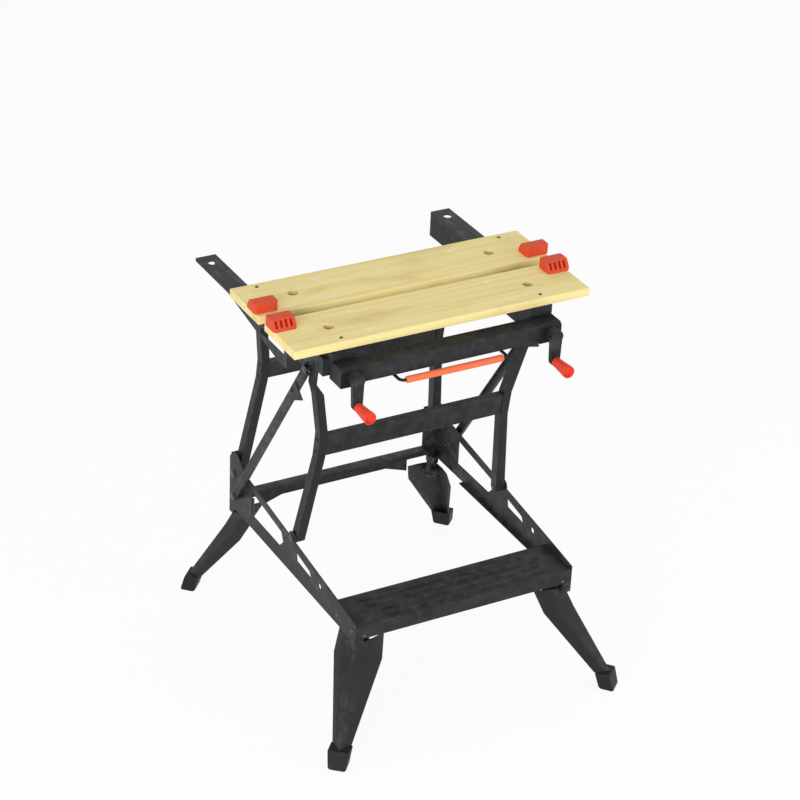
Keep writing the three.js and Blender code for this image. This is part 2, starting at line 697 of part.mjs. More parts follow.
// A strut from the base up to the front upper pivot, where its notch seats on the pin.
function strut(side) {
  const foot = new THREE.Vector2(STRUT_PIVOT_Y, strutPivotZ);
  const along = new THREE.Vector2(frontTopY, topPivotZ).sub(foot);
  const length = along.length();
  along.normalize();
  const forward = new THREE.Vector2(-along.y, along.x);
  const at = (distance, offset) => {
    const p = foot.clone().addScaledVector(along, distance).addScaledVector(forward, offset);
    return [p.x, p.y];
  };
  const half = STRUT_WIDTH / 2;
  const seat = PIN_RADIUS + STRUT_SEAT_CLEARANCE;
  const outline = [
    at(0, -half), at(length + STRUT_PRONG, -half), at(length + STRUT_PRONG, -seat),
    at(length - seat, -seat), at(length - seat, half), at(0, half),
  ].reverse();
  const bar = plateX(outline, side * strutIn, side * strutOut);
  const eye = rodX(side * strutIn, side * strutOut, STRUT_PIVOT_Y, strutPivotZ, half);
  const latchTop = length - seat - LATCH_SETBACK;
  const latchOutline = [
    at(latchTop - LATCH_LENGTH, -half / 2), at(latchTop, -half / 2),
    at(latchTop - LATCH_THICKNESS, LATCH_REACH), at(latchTop - LATCH_LENGTH, half),
  ].reverse();
  const latch = plateX(latchOutline, side * strutOut, side * (strutOut + LATCH_THICKNESS));
  const inset = half - STRUT_WALL;
  const trough = plateX(
    [
      at(STRUT_WIDTH, -inset), at(latchTop - LATCH_LENGTH - STRUT_WIDTH, -inset),
      at(latchTop - LATCH_LENGTH - STRUT_WIDTH, inset), at(STRUT_WIDTH, inset),
    ].reverse(),
    side * (strutIn - STRUT_WALL), side * (strutOut - STRUT_WALL),
  );
  const [latchY, latchZ] = at(latchTop - LATCH_LENGTH / 2, 0);
  const tools = [
    trough,
    rodX(side * webIn, side * railOut, STRUT_PIVOT_Y, strutPivotZ, PIN_RADIUS + RUN),
    rodX(side * webIn, side * railOut, latchY, latchZ, PIN_RADIUS),
  ];
  return cut(join([bar, eye, latch]), tools);
}

function sideRail(side) {
  const low = railTop - RAIL_HEIGHT;
  const web = box(side * webIn, side * webOut, RAIL_FRONT, RAIL_REAR, low, railTop);
  const flange = box(side * webIn, side * railOut, RAIL_FRONT, RAIL_REAR, railTop - RAIL_WALL, railTop);
  const cheekOutline = [
    [CHEEK_FRONT, railTop - CHEEK_DEPTH],
    [CHEEK_FLAT_END, railTop - CHEEK_DEPTH],
    [CHEEK_TAPER_END, railTop - CHEEK_LIP],
    [RAIL_REAR, railTop - CHEEK_LIP],
    [RAIL_REAR, railTop],
    [CHEEK_FRONT, railTop],
  ];
  const cheek = plateX(cheekOutline, side * (railOut - RAIL_WALL), side * railOut);
  const tieRear = RAIL_FRONT + 2 * RAIL_WALL;
  const tie = box(
    side * (channelOut + FIT), side * webOut, tieRear - TIE_LENGTH, tieRear,
    railTop - TIE_DROP, railTop,
  );
  const slotFront = CHEEK_FRONT + CHEEK_SLOT_HEIGHT;
  const slotZ = railTop - CHEEK_SLOT_DROP;
  const slotHalf = CHEEK_SLOT_HEIGHT / 2;
  const deep = side * (railOut - 2 * RAIL_WALL);
  const past = side * (railOut + RAIL_WALL);
  const slot = box(deep, past, slotFront, slotFront + CHEEK_SLOT_LENGTH, slotZ - slotHalf, slotZ + slotHalf);
  const holeX = side * (webIn + RAIL_WIDTH / 2);
  const tools = [
    slot,
    rodZ(holeX, RAIL_REAR - RAIL_HOLE_INSET, railTop - 2 * RAIL_WALL, railTop + RAIL_WALL, RAIL_HOLE_RADIUS),
    rodX(side * tongueOut, side * strutIn, frontTopY, topPivotZ, PIN_RADIUS + FIT),
    rodX(side * tongueOut, side * strutIn, rearTopY, topPivotZ, PIN_RADIUS + FIT),
  ];
  return cut(join([web, flange, cheek, tie]), tools);
}

function viseChannel(side) {
  const middle = side * viseX;
  const half = CHANNEL_WIDTH / 2;
  const front = capRear + FIT;
  const body = box(middle - half, middle + half, front, CHANNEL_REAR, channelBottom, railTop);
  const inner = half - CHANNEL_WALL;
  const tools = [
    box(
      middle - inner, middle + inner, front - CHANNEL_WALL, CHANNEL_REAR - CHANNEL_WALL,
      channelBottom + CHANNEL_WALL, railTop + CHANNEL_WALL,
    ),
    rodY(middle, front, CHANNEL_REAR + CHANNEL_WALL, screwZ, SCREW_RADIUS + RUN),
  ];
  return cut(body, tools);
}

function viseCap(side) {
  const outline = [
    [CAP_FRONT, channelBottom],
    [capRear, channelBottom],
    [capRear, railTop],
    [CAP_FRONT + CAP_CHAMFER, railTop],
    [CAP_FRONT, railTop - CAP_CHAMFER],
  ];
  const middle = side * viseX;
  const body = plateX(outline, middle - CAP_WIDTH / 2, middle + CAP_WIDTH / 2);
  return body.subtract(rodY(middle, CAP_FRONT - OVERCUT, capRear + OVERCUT, screwZ, SCREW_RADIUS + RUN));
}

function frontBeam() {
  const rear = beamFront + BEAM_DEPTH;
  const body = box(-beamHalf, beamHalf, beamFront, rear, beamBottom, beamTop);
  const hollow = box(
    -beamHalf - OVERCUT, beamHalf + OVERCUT, beamFront + BEAM_WALL, rear - BEAM_WALL,
    beamBottom - BEAM_WALL, beamTop - BEAM_WALL,
  );
  const guides = [-1, 1].map((s) => {
    const x = s * BAIL_SPAN / 2;
    const half = GUIDE_WIDTH / 2;
    return box(x - half, x + half, rear - BEAM_WALL, rear, bailZ - half, beamBottom + BEAM_WALL);
  });
  const bores = [-1, 1].map((s) => {
    return rodY(s * BAIL_SPAN / 2, rear - 2 * BEAM_WALL, rear + BEAM_WALL, bailZ, BAIL_RADIUS + RUN);
  });
  return cut(join([body.subtract(hollow), ...guides]), bores);
}

// Both jaws are drilled for pegs; sense is -1 for the front jaw and 1 for the rear jaw.
function jaw(sense) {
  const face = sense * JAW_GAP / 2;
  const far = face + sense * JAW_DEPTH;
  const body = box(-JAW_LENGTH / 2, JAW_LENGTH / 2, face, far, jawBottom, WORK_HEIGHT);
  const holes = [];
  for (const side of [-1, 1]) {
    holes.push([side * pegX, face + sense * PEG_SETBACK]);
    holes.push([side * spareHoleX, face + sense * SPARE_HOLE_SETBACK]);
  }
  const low = jawBottom - OVERCUT;
  const high = WORK_HEIGHT + OVERCUT;
  return cut(body, holes.map(([x, y]) => rodZ(x, y, low, high, HOLE_RADIUS)));
}

function frontCarrier(side) {
  const front = jawFront + CARRIER_MARGIN;
  const rear = -JAW_GAP / 2 - 2 * CARRIER_MARGIN;
  const low = railTop + FIT;
  const top = jawBottom - FIT;
  const inner = side * (viseX - CAP_WIDTH / 2);
  const footFront = RAIL_FRONT + CARRIER_MARGIN;
  const plate = box(inner, side * (railOut - CARRIER_MARGIN), footFront, rear, top - CARRIER_PLATE, top);
  const block = box(inner, side * (viseX + CAP_WIDTH / 2), front, rear, low, top);
  const foot = box(
    side * (webIn + RUNNER_MARGIN), side * (railOut - RUNNER_MARGIN), footFront, rear, low, top,
  );
  return join([plate, block, foot]);
}

function jawNut(side) {
  const middle = side * viseX;
  const inner = CHANNEL_WIDTH / 2 - CHANNEL_WALL - RUN;
  const low = railTop + RUN;
  const top = jawBottom - FIT;
  const front = NUT_Y - NUT_LENGTH;
  const rear = front + NUT_PLATE_LENGTH;
  const blockTop = screwZ + SCREW_RADIUS + CARRIER_PLATE / 2;
  const nutRear = NUT_Y + NUT_LENGTH / 2;
  const nutFront = NUT_Y - NUT_LENGTH / 2;
  const pieces = [
    box(middle - inner, middle + inner, nutFront, nutRear, channelBottom + CHANNEL_WALL + RUN, blockTop),
    box(middle - NUT_NECK / 2, middle + NUT_NECK / 2, nutFront, nutRear, screwZ, top),
    box(side * (viseX - NUT_NECK), side * (railOut - RUNNER_MARGIN), front, rear, top - CARRIER_PLATE, top),
    box(side * (webIn + RUNNER_MARGIN), side * (railOut - RUNNER_MARGIN), front, rear, low, top),
  ];
  return join(pieces).subtract(rodY(middle, front, rear, screwZ, SCREW_RADIUS + RUN));
}

// The crank pieces are built about the screw's axis, with the cap's front face at y = 0.
function viseScrew() {
  const reach = CHANNEL_REAR + SCREW_TAIL - CAP_FRONT;
  return rodY(0, -SCREW_NOSE, reach, 0, SCREW_RADIUS);
}

function crankArm() {
  const hubRear = -CRANK_STANDOFF;
  const hubFront = hubRear - CRANK_HUB_LENGTH;
  const armRear = hubFront + CRANK_ARM_THICKNESS;
  const half = CRANK_ARM_WIDTH / 2;
  const arm = hull([
    vec(-half, hubFront, 0), vec(half, hubFront, 0), vec(-half, armRear, 0), vec(half, armRear, 0),
    vec(-CRANK_END_RADIUS, hubFront, -CRANK_REACH), vec(CRANK_END_RADIUS, hubFront, -CRANK_REACH),
    vec(-CRANK_END_RADIUS, armRear, -CRANK_REACH), vec(CRANK_END_RADIUS, armRear, -CRANK_REACH),
  ]);
  const pieces = [
    rodY(0, hubFront, hubRear, 0, CRANK_HUB_RADIUS),
    arm,
    rodY(0, hubFront, armRear, -CRANK_REACH, CRANK_END_RADIUS),
    rodY(0, hubFront - GRIP_LENGTH + GRIP_RECESS, hubFront + OVERCUT, -CRANK_REACH, SPINDLE_RADIUS),
  ];
  return join(pieces).subtract(rodY(0, -SCREW_NOSE - FIT, OVERCUT, 0, SCREW_RADIUS + FIT));
}

function crankGrip() {
  const start = -CRANK_STANDOFF - CRANK_HUB_LENGTH - RUN;
  const end = start - GRIP_LENGTH;
  const bore = SPINDLE_RADIUS + RUN;
  const lip = GRIP_OUTER_RADIUS - GRIP_WALL;
  const profile = [
    [bore, start], [bore, end + GRIP_RECESS], [lip, end + GRIP_RECESS], [lip, end],
    [GRIP_OUTER_RADIUS, end], [GRIP_OUTER_RADIUS, end + GRIP_RECESS], [GRIP_INNER_RADIUS, start],
    [bore, start],
  ];
  const geometry = new THREE.LatheGeometry(profile.map(([r, h]) => new THREE.Vector2(r, h)), GRIP_FACETS);
  geometry.translate(0, 0, -CRANK_REACH);
  return solid(geometry);
}

// The bail's centre line from its left end round to its right end, with the direction it runs at each point.
function bailPath() {
  const half = BAIL_SPAN / 2;
  const left = [{ x: -half, y: BAIL_FRONT + BAIL_LENGTH, turn: 0 }];
  for (let i = 0; i <= BAIL_STEPS; i += 1) {
    const turn = (Math.PI / 2) * (i / BAIL_STEPS);
    const x = -half + BAIL_BEND * (1 - Math.cos(turn));
    left.push({ x, y: BAIL_FRONT + BAIL_BEND * (1 - Math.sin(turn)), turn });
  }
  const right = left.map(({ x, y, turn }) => ({ x: -x, y, turn: Math.PI - turn }));
  return left.concat(right.reverse());
}

// A bent wire: two legs that run back under the beam and a bar across the front.
function releaseWire() {
  const path = bailPath();
  const positions = [];
  const faces = [];
  const last = (path.length - 1) * BAIL_FACETS;
  for (let k = 2; k < BAIL_FACETS; k += 1) {
    faces.push(0, k, k - 1, last, last + k - 1, last + k);
  }
  path.forEach(({ x, y, turn }, i) => {
    const start = i * BAIL_FACETS;
    for (let k = 0; k < BAIL_FACETS; k += 1) {
      const around = (2 * Math.PI * k) / BAIL_FACETS;
      const aside = BAIL_RADIUS * Math.cos(around);
      const z = bailZ + BAIL_RADIUS * Math.sin(around);
      positions.push(x + aside * Math.cos(turn), y + aside * Math.sin(turn), z);
      if (i > 0) {
        const here = start + k;
        const next = start + ((k + 1) % BAIL_FACETS);
        faces.push(here - BAIL_FACETS, next - BAIL_FACETS, next, here - BAIL_FACETS, next, here);
      }
    }
  });
  const geometry = new THREE.BufferGeometry();
  geometry.setAttribute("position", new THREE.Float32BufferAttribute(positions, 3));
  geometry.setIndex(faces);
  return solid(geometry);
}

function releaseSleeve() {
  const half = BAIL_SPAN / 2 - BAIL_BEND - RUN;
  const tube = rodX(-half, half, BAIL_FRONT, bailZ, SLEEVE_RADIUS);
  return tube.subtract(rodX(-half - OVERCUT, half + OVERCUT, BAIL_FRONT, bailZ, BAIL_RADIUS + FIT));
}

// A swivel peg about its own stem, with the jaw's top face at z = 0 and its gripping face towards +y.
function peg() {
  const half = PEG_LENGTH / 2;
  const profile = [
    [-PEG_BACK, FIT], [PEG_FACE, FIT], [PEG_FACE, PEG_HEIGHT], [PEG_CREST, PEG_HEIGHT], [-PEG_BACK, PEG_TOE],
  ];
  const footprint = [
    [-half, -PEG_BACK + PEG_CHAMFER], [-half + PEG_CHAMFER, -PEG_BACK], [half - PEG_CHAMFER, -PEG_BACK],
    [half, -PEG_BACK + PEG_CHAMFER], [half, PEG_FACE - PEG_EASE], [half - PEG_EASE, PEG_FACE],
    [-half + PEG_EASE, PEG_FACE], [-half, PEG_FACE - PEG_EASE],
  ];
  const body = plateX(profile, -half, half).intersect(plateZ(footprint, 0, PEG_HEIGHT + OVERCUT));
  const lean = (PEG_CREST + PEG_BACK) / (PEG_HEIGHT - PEG_TOE);
  const slotFloor = (z) => -PEG_BACK + lean * (z - PEG_TOE) + PEG_SLOT_DEPTH;
  const low = PEG_TOE + PEG_SLOT_MARGIN;
  const high = PEG_HEIGHT - PEG_SLOT_MARGIN;
  const outside = -PEG_BACK - OVERCUT;
  const outline = [[outside, low], [slotFloor(low), low], [slotFloor(high), high], [outside, high]];
  const slots = [];
  for (let i = 0; i < PEG_SLOTS; i += 1) {
    const x = (i - (PEG_SLOTS - 1) / 2) * PEG_SLOT_PITCH;
    slots.push(plateX(outline, x - PEG_SLOT_WIDTH / 2, x + PEG_SLOT_WIDTH / 2));
  }
  const stem = rodZ(0, 0, FIT - JAW_THICKNESS, OVERCUT, HOLE_RADIUS - RUN);
  return cut(body, slots).add(stem);
}

// Assembly
const bench = new THREE.Group();
bench.name = "folding_workbench";

const base = new THREE.Group();
base.name = "base";
base.add(node("step", step(), steel), node("rear_bar", rearBar(), steel));
for (const [name, side] of SIDES) {
  const shoulder = sideOut + FIT;
  const head = [shoulder, shoulder + PIN_HEAD, PIN_HEAD_RADIUS];
  const inner = sideIn - FRAME_GAP - FRAME_FOOT_WIDTH - PIN_TAIL;
  const strutPinCollars = [
    [shoulder, strutIn - FIT, PIN_HEAD_RADIUS],
    [strutOut + FIT, strutOut + FIT + PIN_HEAD, PIN_HEAD_RADIUS],
  ];
  const strutPinEnd = strutOut + FIT + PIN_HEAD;
  const strutPinInner = sideIn - PIN_HEAD;
  const lowerPin = (y) => pivotPin(side, y, BASE_PIVOT_HEIGHT, inner, shoulder + OVERCUT, [head]);
  const strutPin = pivotPin(side, STRUT_PIVOT_Y, strutPivotZ, strutPinInner, strutPinEnd, strutPinCollars);
  base.add(
    node(`base_side_${name}`, baseSide(side), steel),
    node(`front_lower_pin_${name}`, lowerPin(FRONT_PIVOT_Y), bright),
    node(`rear_lower_pin_${name}`, lowerPin(rearPivotY), bright),
    node(`strut_pin_${name}`, strutPin, bright),
  );
}
bench.add(base);

for (const c of corners) {
  base.add(node(`leg_pin_${c.name}`, legPin(c), bright));
  const leg = new THREE.Group();
  leg.name = `fold_leg_${c.name}`;
  leg.add(node(`leg_${c.name}`, foldLeg(c), steel), node(`foot_${c.name}`, footCap(c), plastic));
  bench.add(leg);
}

const frames = {
  front: {
    pivotY: FRONT_PIVOT_Y, crossbarZ: FRONT_CROSSBAR_Z, crossbarHeight: FRONT_CROSSBAR_HEIGHT,
    waistX: frontWaistX, kinkX: frontKinkX, tongueX: tongueOut,
  },
  rear: {
    pivotY: rearPivotY, crossbarZ: REAR_CROSSBAR_Z, crossbarHeight: REAR_CROSSBAR_HEIGHT,
    waistX: rearWaistX, kinkX: rearKinkX, tongueX: rearTongueX,
  },
};
for (const [end, sizes] of Object.entries(frames)) {
  const frame = new THREE.Group();
  frame.name = `${end}_frame`;
  for (const [name, side] of SIDES) {
    frame.add(node(`${end}_frame_leg_${name}`, frameLeg(side, sizes), steel));
  }
  frame.add(node(`${end}_crossbar`, crossbar(sizes), steel));
  bench.add(frame);
}

const top = new THREE.Group();
top.name = "top_frame";
top.add(node("front_beam", frontBeam(), steel), node("front_jaw", jaw(-1), timber));
const movingJaw = new THREE.Group();
movingJaw.name = "moving_jaw";
movingJaw.add(node("rear_jaw", jaw(1), timber));
for (const [name, side] of SIDES) {
  const pinInner = channelOut + 2 * FIT;
  const rearPinInner = rearTongueX - TONGUE_THICKNESS - PIN_TAIL;
  const frontHead = [strutOut + FIT, strutOut + FIT + PIN_HEAD, PIN_HEAD_RADIUS];
  const rearHead = [webOut + FIT, strutIn - 2 * FIT, PIN_HEAD_RADIUS];
  const upperPin = (y, from, head) => pivotPin(side, y, topPivotZ, from, head[1], [head]);
  top.add(
    node(`side_rail_${name}`, sideRail(side), steel),
    node(`vise_channel_${name}`, viseChannel(side), steel),
    node(`vise_cap_${name}`, viseCap(side), plastic),
    node(`front_jaw_carrier_${name}`, frontCarrier(side), steel),
    node(`front_upper_pin_${name}`, upperPin(frontTopY, pinInner, frontHead), bright),
    node(`rear_upper_pin_${name}`, upperPin(rearTopY, rearPinInner, rearHead), bright),
  );
  movingJaw.add(node(`jaw_nut_${name}`, jawNut(side), plastic));
  bench.add(node(`strut_${name}`, strut(side), steel));

  const crank = new THREE.Group();
  crank.name = `crank_${name}`;
  crank.position.set(side * viseX, CAP_FRONT, screwZ);
  crank.add(
    node(`vise_screw_${name}`, viseScrew(), bright),
    node(`crank_arm_${name}`, crankArm(), plastic),
    node(`crank_grip_${name}`, crankGrip(), orange),
  );
  bench.add(crank);

  bench.add(node(`peg_front_${name}`, peg(), orange, vec(side * pegX, -pegY, WORK_HEIGHT)));
  const rearPeg = node(`peg_rear_${name}`, peg(), orange, vec(side * pegX, pegY, WORK_HEIGHT));
  rearPeg.rotation.z = Math.PI;
  bench.add(rearPeg);
}
bench.add(top, movingJaw);

const release = new THREE.Group();
release.name = "release";
release.add(node("release_wire", releaseWire(), bright), node("release_sleeve", releaseSleeve(), orange));
bench.add(release);

export default bench;
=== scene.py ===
"""Finishes and fine detail for a folding workbench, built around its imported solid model."""

import json
import math

import bmesh
import bpy
from mathutils import Matrix, Vector
from mathutils.geometry import intersect_point_line


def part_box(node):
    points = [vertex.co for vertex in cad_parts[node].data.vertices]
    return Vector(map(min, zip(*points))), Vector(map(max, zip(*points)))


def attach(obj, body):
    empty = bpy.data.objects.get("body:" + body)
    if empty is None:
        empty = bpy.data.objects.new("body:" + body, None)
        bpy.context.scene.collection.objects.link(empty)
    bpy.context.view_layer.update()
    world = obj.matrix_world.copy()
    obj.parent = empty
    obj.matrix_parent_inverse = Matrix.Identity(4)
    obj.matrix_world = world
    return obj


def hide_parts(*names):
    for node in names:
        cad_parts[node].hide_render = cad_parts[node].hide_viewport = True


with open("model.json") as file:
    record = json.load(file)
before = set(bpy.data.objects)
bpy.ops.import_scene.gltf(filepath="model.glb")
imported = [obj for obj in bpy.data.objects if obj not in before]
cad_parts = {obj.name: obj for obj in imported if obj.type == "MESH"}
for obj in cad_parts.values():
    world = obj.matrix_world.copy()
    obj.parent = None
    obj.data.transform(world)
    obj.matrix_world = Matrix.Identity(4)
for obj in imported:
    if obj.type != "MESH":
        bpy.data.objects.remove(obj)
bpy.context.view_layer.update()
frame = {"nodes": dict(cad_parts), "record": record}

bl_info = {
    "name": "Folding Workbench Finish",
    "version": (1, 0, 0),
    "blender": (4, 5, 0),
    "location": "View3D > Sidebar > Workbench",
    "description": "Rounds, colours and details a folding workbench around its solid model",
    "category": "Object",
}

RECORD = frame["record"]
BODY_OF = {node: body for body, nodes in RECORD["behaviour"]["bodies"].items() for node in nodes}
SIDES = (("left", -1), ("right", 1))
CORNERS = ("front_left", "front_right", "rear_left", "rear_right")
MERGE = 1e-5
FLAT = math.radians(0.5)
CREASE = math.radians(34)
STRAIGHT = math.radians(150)
ROUND = 40
ROUND_SHARES = (1, 0.85, 0.7, 0.55, 0.4, 0.25)
TURNED_LIMIT = 1e-7
RIM_SHARE = 0.6
RIM_FOLD = 0.005
HEAD_SINK = -0.05
PIN_SHAFT = 0.0045
PIN_HEAD = 0.003
THIN_PIN_HEAD = 0.0019
PIN_EASE = 0.0008
PIN_CLEARANCE = 0.0003
WAIST_WIDTH = 0.0173
FRAME_LEAN = 0.1617


class BenchColours(bpy.types.PropertyGroup):
    """Colours of the finishes."""

    paint: bpy.props.FloatVectorProperty(
        name="Paint", description="Charcoal paint on the steel", subtype="COLOR", size=3,
        min=0, max=1, default=(0.018, 0.0193, 0.0217),
    )
    moulding: bpy.props.FloatVectorProperty(
        name="Moulding", description="Black moulded caps, cranks and feet", subtype="COLOR", size=3,
        min=0, max=1, default=(0.0145, 0.015, 0.0165),
    )
    plating: bpy.props.FloatVectorProperty(
        name="Plating", description="Dark plated pins and screws", subtype="COLOR", size=3,
        min=0, max=1, default=(0.085, 0.085, 0.09),
    )
    timber: bpy.props.FloatVectorProperty(
        name="Timber", description="Pale jaw timber", subtype="COLOR", size=3,
        min=0, max=1, default=(0.91, 0.785, 0.37),
    )
    timber_dark: bpy.props.FloatVectorProperty(
        name="Timber streak", description="Darker streaks in the jaw timber", subtype="COLOR", size=3,
        min=0, max=1, default=(0.72, 0.55, 0.215),
    )
    peg: bpy.props.FloatVectorProperty(
        name="Peg", description="Orange swivel pegs", subtype="COLOR", size=3,
        min=0, max=1, default=(0.67, 0.072, 0.023),
    )
    grip: bpy.props.FloatVectorProperty(
        name="Grip", description="Red-orange crank grips", subtype="COLOR", size=3,
        min=0, max=1, default=(0.755, 0.061, 0.029),
    )
    sleeve: bpy.props.FloatVectorProperty(
        name="Sleeve", description="Orange sleeve of the release bar", subtype="COLOR", size=3,
        min=0, max=1, default=(0.86, 0.17, 0.07),
    )


class BenchSizes(bpy.types.PropertyGroup):
    """Roundings and small hardware."""

    sheet_round: bpy.props.FloatProperty(
        name="Sheet rounding", description="Edge rounding of thin pressed sheet", unit="LENGTH",
        min=0, default=0.0008,
    )
    frame_round: bpy.props.FloatProperty(
        name="Frame rounding", description="Edge rounding of the H-frames", unit="LENGTH",
        min=0, default=0.0012,
    )
    foot_round: bpy.props.FloatProperty(
        name="Foot rounding", description="Edge rounding of the moulded feet", unit="LENGTH",
        min=0, default=0.0025,
    )
    cap_round: bpy.props.FloatProperty(
        name="Cap rounding", description="Edge rounding of the vise caps and cranks", unit="LENGTH",
        min=0, default=0.0018,
    )
    peg_round: bpy.props.FloatProperty(
        name="Peg rounding", description="Edge rounding of the swivel pegs", unit="LENGTH",
        min=0, default=0.0011,
    )
    jaw_round: bpy.props.FloatProperty(
        name="Jaw rounding", description="Eased edge of the jaw boards", unit="LENGTH",
        min=0, default=0.0016,
    )
    thread_pitch: bpy.props.FloatProperty(
        name="Thread pitch", description="Travel of the vise screw in one turn", unit="LENGTH",
        min=0.001, default=0.005,
    )
    thread_depth: bpy.props.FloatProperty(
        name="Thread depth", description="Height of the vise screw's thread", unit="LENGTH",
        min=0, default=0.0011,
    )
    wire_bend: bpy.props.FloatProperty(
        name="Wire bend", description="Bend radius of the release wire", unit="LENGTH",
        min=0, default=0.01,
    )
    flutes: bpy.props.IntProperty(
        name="Grip flutes", description="Shallow flutes around each crank grip", min=0, default=12,
    )


class BenchView(bpy.types.PropertyGroup):
    """Camera and light."""

    azimuth: bpy.props.FloatProperty(
        name="Azimuth", description="Camera angle about the bench", subtype="ANGLE",
        default=math.radians(-29.815),
    )
    elevation: bpy.props.FloatProperty(
        name="Elevation", description="Camera angle above the floor", subtype="ANGLE",
        default=math.radians(29.483),
    )
    roll: bpy.props.FloatProperty(
        name="Roll", description="Camera turn about its own axis", subtype="ANGLE",
        default=math.radians(2.695),
    )
    distance: bpy.props.FloatProperty(
        name="Distance", description="Camera distance from its target", unit="LENGTH", default=4.8799,
    )
    target: bpy.props.FloatVectorProperty(
        name="Target", description="Point the camera looks at", subtype="TRANSLATION", size=3,
        default=(-0.00007, 0.02081, 0.52775),
    )
    lens: bpy.props.FloatProperty(
        name="Lens", description="Focal length in millimetres on a 36 mm sensor", default=116.05,
    )
    floor: bpy.props.FloatVectorProperty(
        name="Floor", description="Colour of the floor", subtype="COLOR", size=3,
        min=0, max=1, default=(0.9, 0.9, 0.9),
    )
    sky: bpy.props.FloatProperty(
        name="Sky", description="Strength of the even light from all round", min=0, default=0.4,
    )
    key: bpy.props.FloatProperty(
        name="Key", description="Power of the main soft light in watts", min=0, default=122,
    )
    fill: bpy.props.FloatProperty(
        name="Fill", description="Power of the fill light in watts", min=0, default=36,
    )
    top: bpy.props.FloatProperty(
        name="Top", description="Power of the light from above in watts", min=0, default=27,
    )
    backdrop: bpy.props.FloatProperty(
        name="Backdrop", description="How far the floor is seen as plain white", subtype="FACTOR",
        min=0, max=1, default=0.92,
    )


# Shader building blocks


def shader_group(name, inputs, outputs):
    """A shader group with named sockets; returns its tree, input node and output node."""
    tree = bpy.data.node_groups.new(name, "ShaderNodeTree")
    for label, kind, value in inputs:
        socket = tree.interface.new_socket(label, in_out="INPUT", socket_type=kind)
        socket.default_value = value
    for label, kind in outputs:
        tree.interface.new_socket(label, in_out="OUTPUT", socket_type=kind)
    return tree, tree.nodes.new("NodeGroupInput"), tree.nodes.new("NodeGroupOutput")


def set_inputs(node, values):
    for label, value in values.items():
        node.inputs[label].default_value = value


def noise(tree, vector, scale, detail=4.0, roughness=0.5):
    node = tree.nodes.new("ShaderNodeTexNoise")
    set_inputs(node, {"Scale": scale, "Detail": detail, "Roughness": roughness})
    tree.links.new(vector, node.inputs["Vector"])
    return node.outputs["Fac"]


def ramp(tree, value, low, high, out_low=0.0, out_high=1.0):
    node = tree.nodes.new("ShaderNodeMapRange")
    node.clamp = True
    set_inputs(node, {"From Min": low, "From Max": high, "To Min": out_low, "To Max": out_high})
    tree.links.new(value, node.inputs["Value"])
    return node.outputs["Result"]


def times(tree, a, b):
    node = tree.nodes.new("ShaderNodeMath")
    node.operation = "MULTIPLY"
    for socket, value in zip(node.inputs, (a, b)):
        if isinstance(value, (int, float)):
            socket.default_value = value
        else:
            tree.links.new(value, socket)
    return node.outputs[0]


def mixed(tree, factor, a, b):
    """A colour between a and b; each is a socket or an RGBA value."""
    node = tree.nodes.new("ShaderNodeMix")
    node.data_type = "RGBA"
    tree.links.new(factor, node.inputs["Factor"])
    for label, value in (("A", a), ("B", b)):
        socket = next(s for s in node.inputs if s.name == label and s.type == "RGBA")
        if isinstance(value, (tuple, list)):
            socket.default_value = value
        else:
            tree.links.new(value, socket)
    return next(s for s in node.outputs if s.type == "RGBA")


def stretched(tree, scale):
    """Object coordinates with their own scale along each axis."""
    where = tree.nodes.new("ShaderNodeTexCoord")
    mapping = tree.nodes.new("ShaderNodeMapping")
    mapping.inputs["Scale"].default_value = scale
    tree.links.new(where.outputs["Object"], mapping.inputs["Vector"])
    return mapping.outputs["Vector"]


def handled_surface():
    """Shared: colour lifted on worn rounded edges, painted shade in hollows, mottling and settled dust."""
    colour, value = "NodeSocketColor", "NodeSocketFloat"
    tree, given, out = shader_group(
        "handled_surface",
        [
            ("Base", colour, (0.04, 0.04, 0.04, 1)), ("Edge", colour, (0.16, 0.16, 0.16, 1)),
            ("Dust", colour, (0.35, 0.33, 0.3, 1)), ("Edge Amount", value, 0.5),
            ("Hollow", colour, (0.002, 0.002, 0.002, 1)), ("Hollow Amount", value, 0.0),
            ("Mottle", value, 0.1), ("Dust Amount", value, 0.05), ("Roughness", value, 0.45),
        ],
        [("Color", colour), ("Roughness", value)],
    )
    place = stretched(tree, (1, 1, 1))
    edge = tree.nodes.new("ShaderNodeAttribute")
    edge.attribute_name = "edge"
    worn = times(tree, edge.outputs["Fac"], ramp(tree, noise(tree, place, 55), 0.38, 0.66))
    worn = times(tree, worn, given.outputs["Edge Amount"])
    cloud = noise(tree, place, 9, detail=5)
    mottled = times(tree, ramp(tree, cloud, 0.3, 0.7), given.outputs["Mottle"])
    shade = mixed(tree, mottled, given.outputs["Base"], given.outputs["Edge"])
    shade = mixed(tree, worn, shade, given.outputs["Edge"])
    # Painted shade: the colour darkens where the surface is hollowed, standing in for shade in slots and
    # between ribs.
    hollow = tree.nodes.new("ShaderNodeAttribute")
    hollow.attribute_name = "hollow"
    painted_shade = times(tree, hollow.outputs["Fac"], given.outputs["Hollow Amount"])
    shade = mixed(tree, painted_shade, shade, given.outputs["Hollow"])
    fine = ramp(tree, noise(tree, place, 260, detail=2), 0.5, 0.75)
    settled = times(tree, fine, given.outputs["Dust Amount"])
    shade = mixed(tree, settled, shade, given.outputs["Dust"])
    tree.links.new(shade, out.inputs["Color"])
    add = tree.nodes.new("ShaderNodeMath")
    add.operation = "ADD"
    tree.links.new(given.outputs["Roughness"], add.inputs[0])
    tree.links.new(ramp(tree, cloud, 0.25, 0.75, -0.02, 0.02), add.inputs[1])
    tree.links.new(add.outputs[0], out.inputs["Roughness"])
    return tree


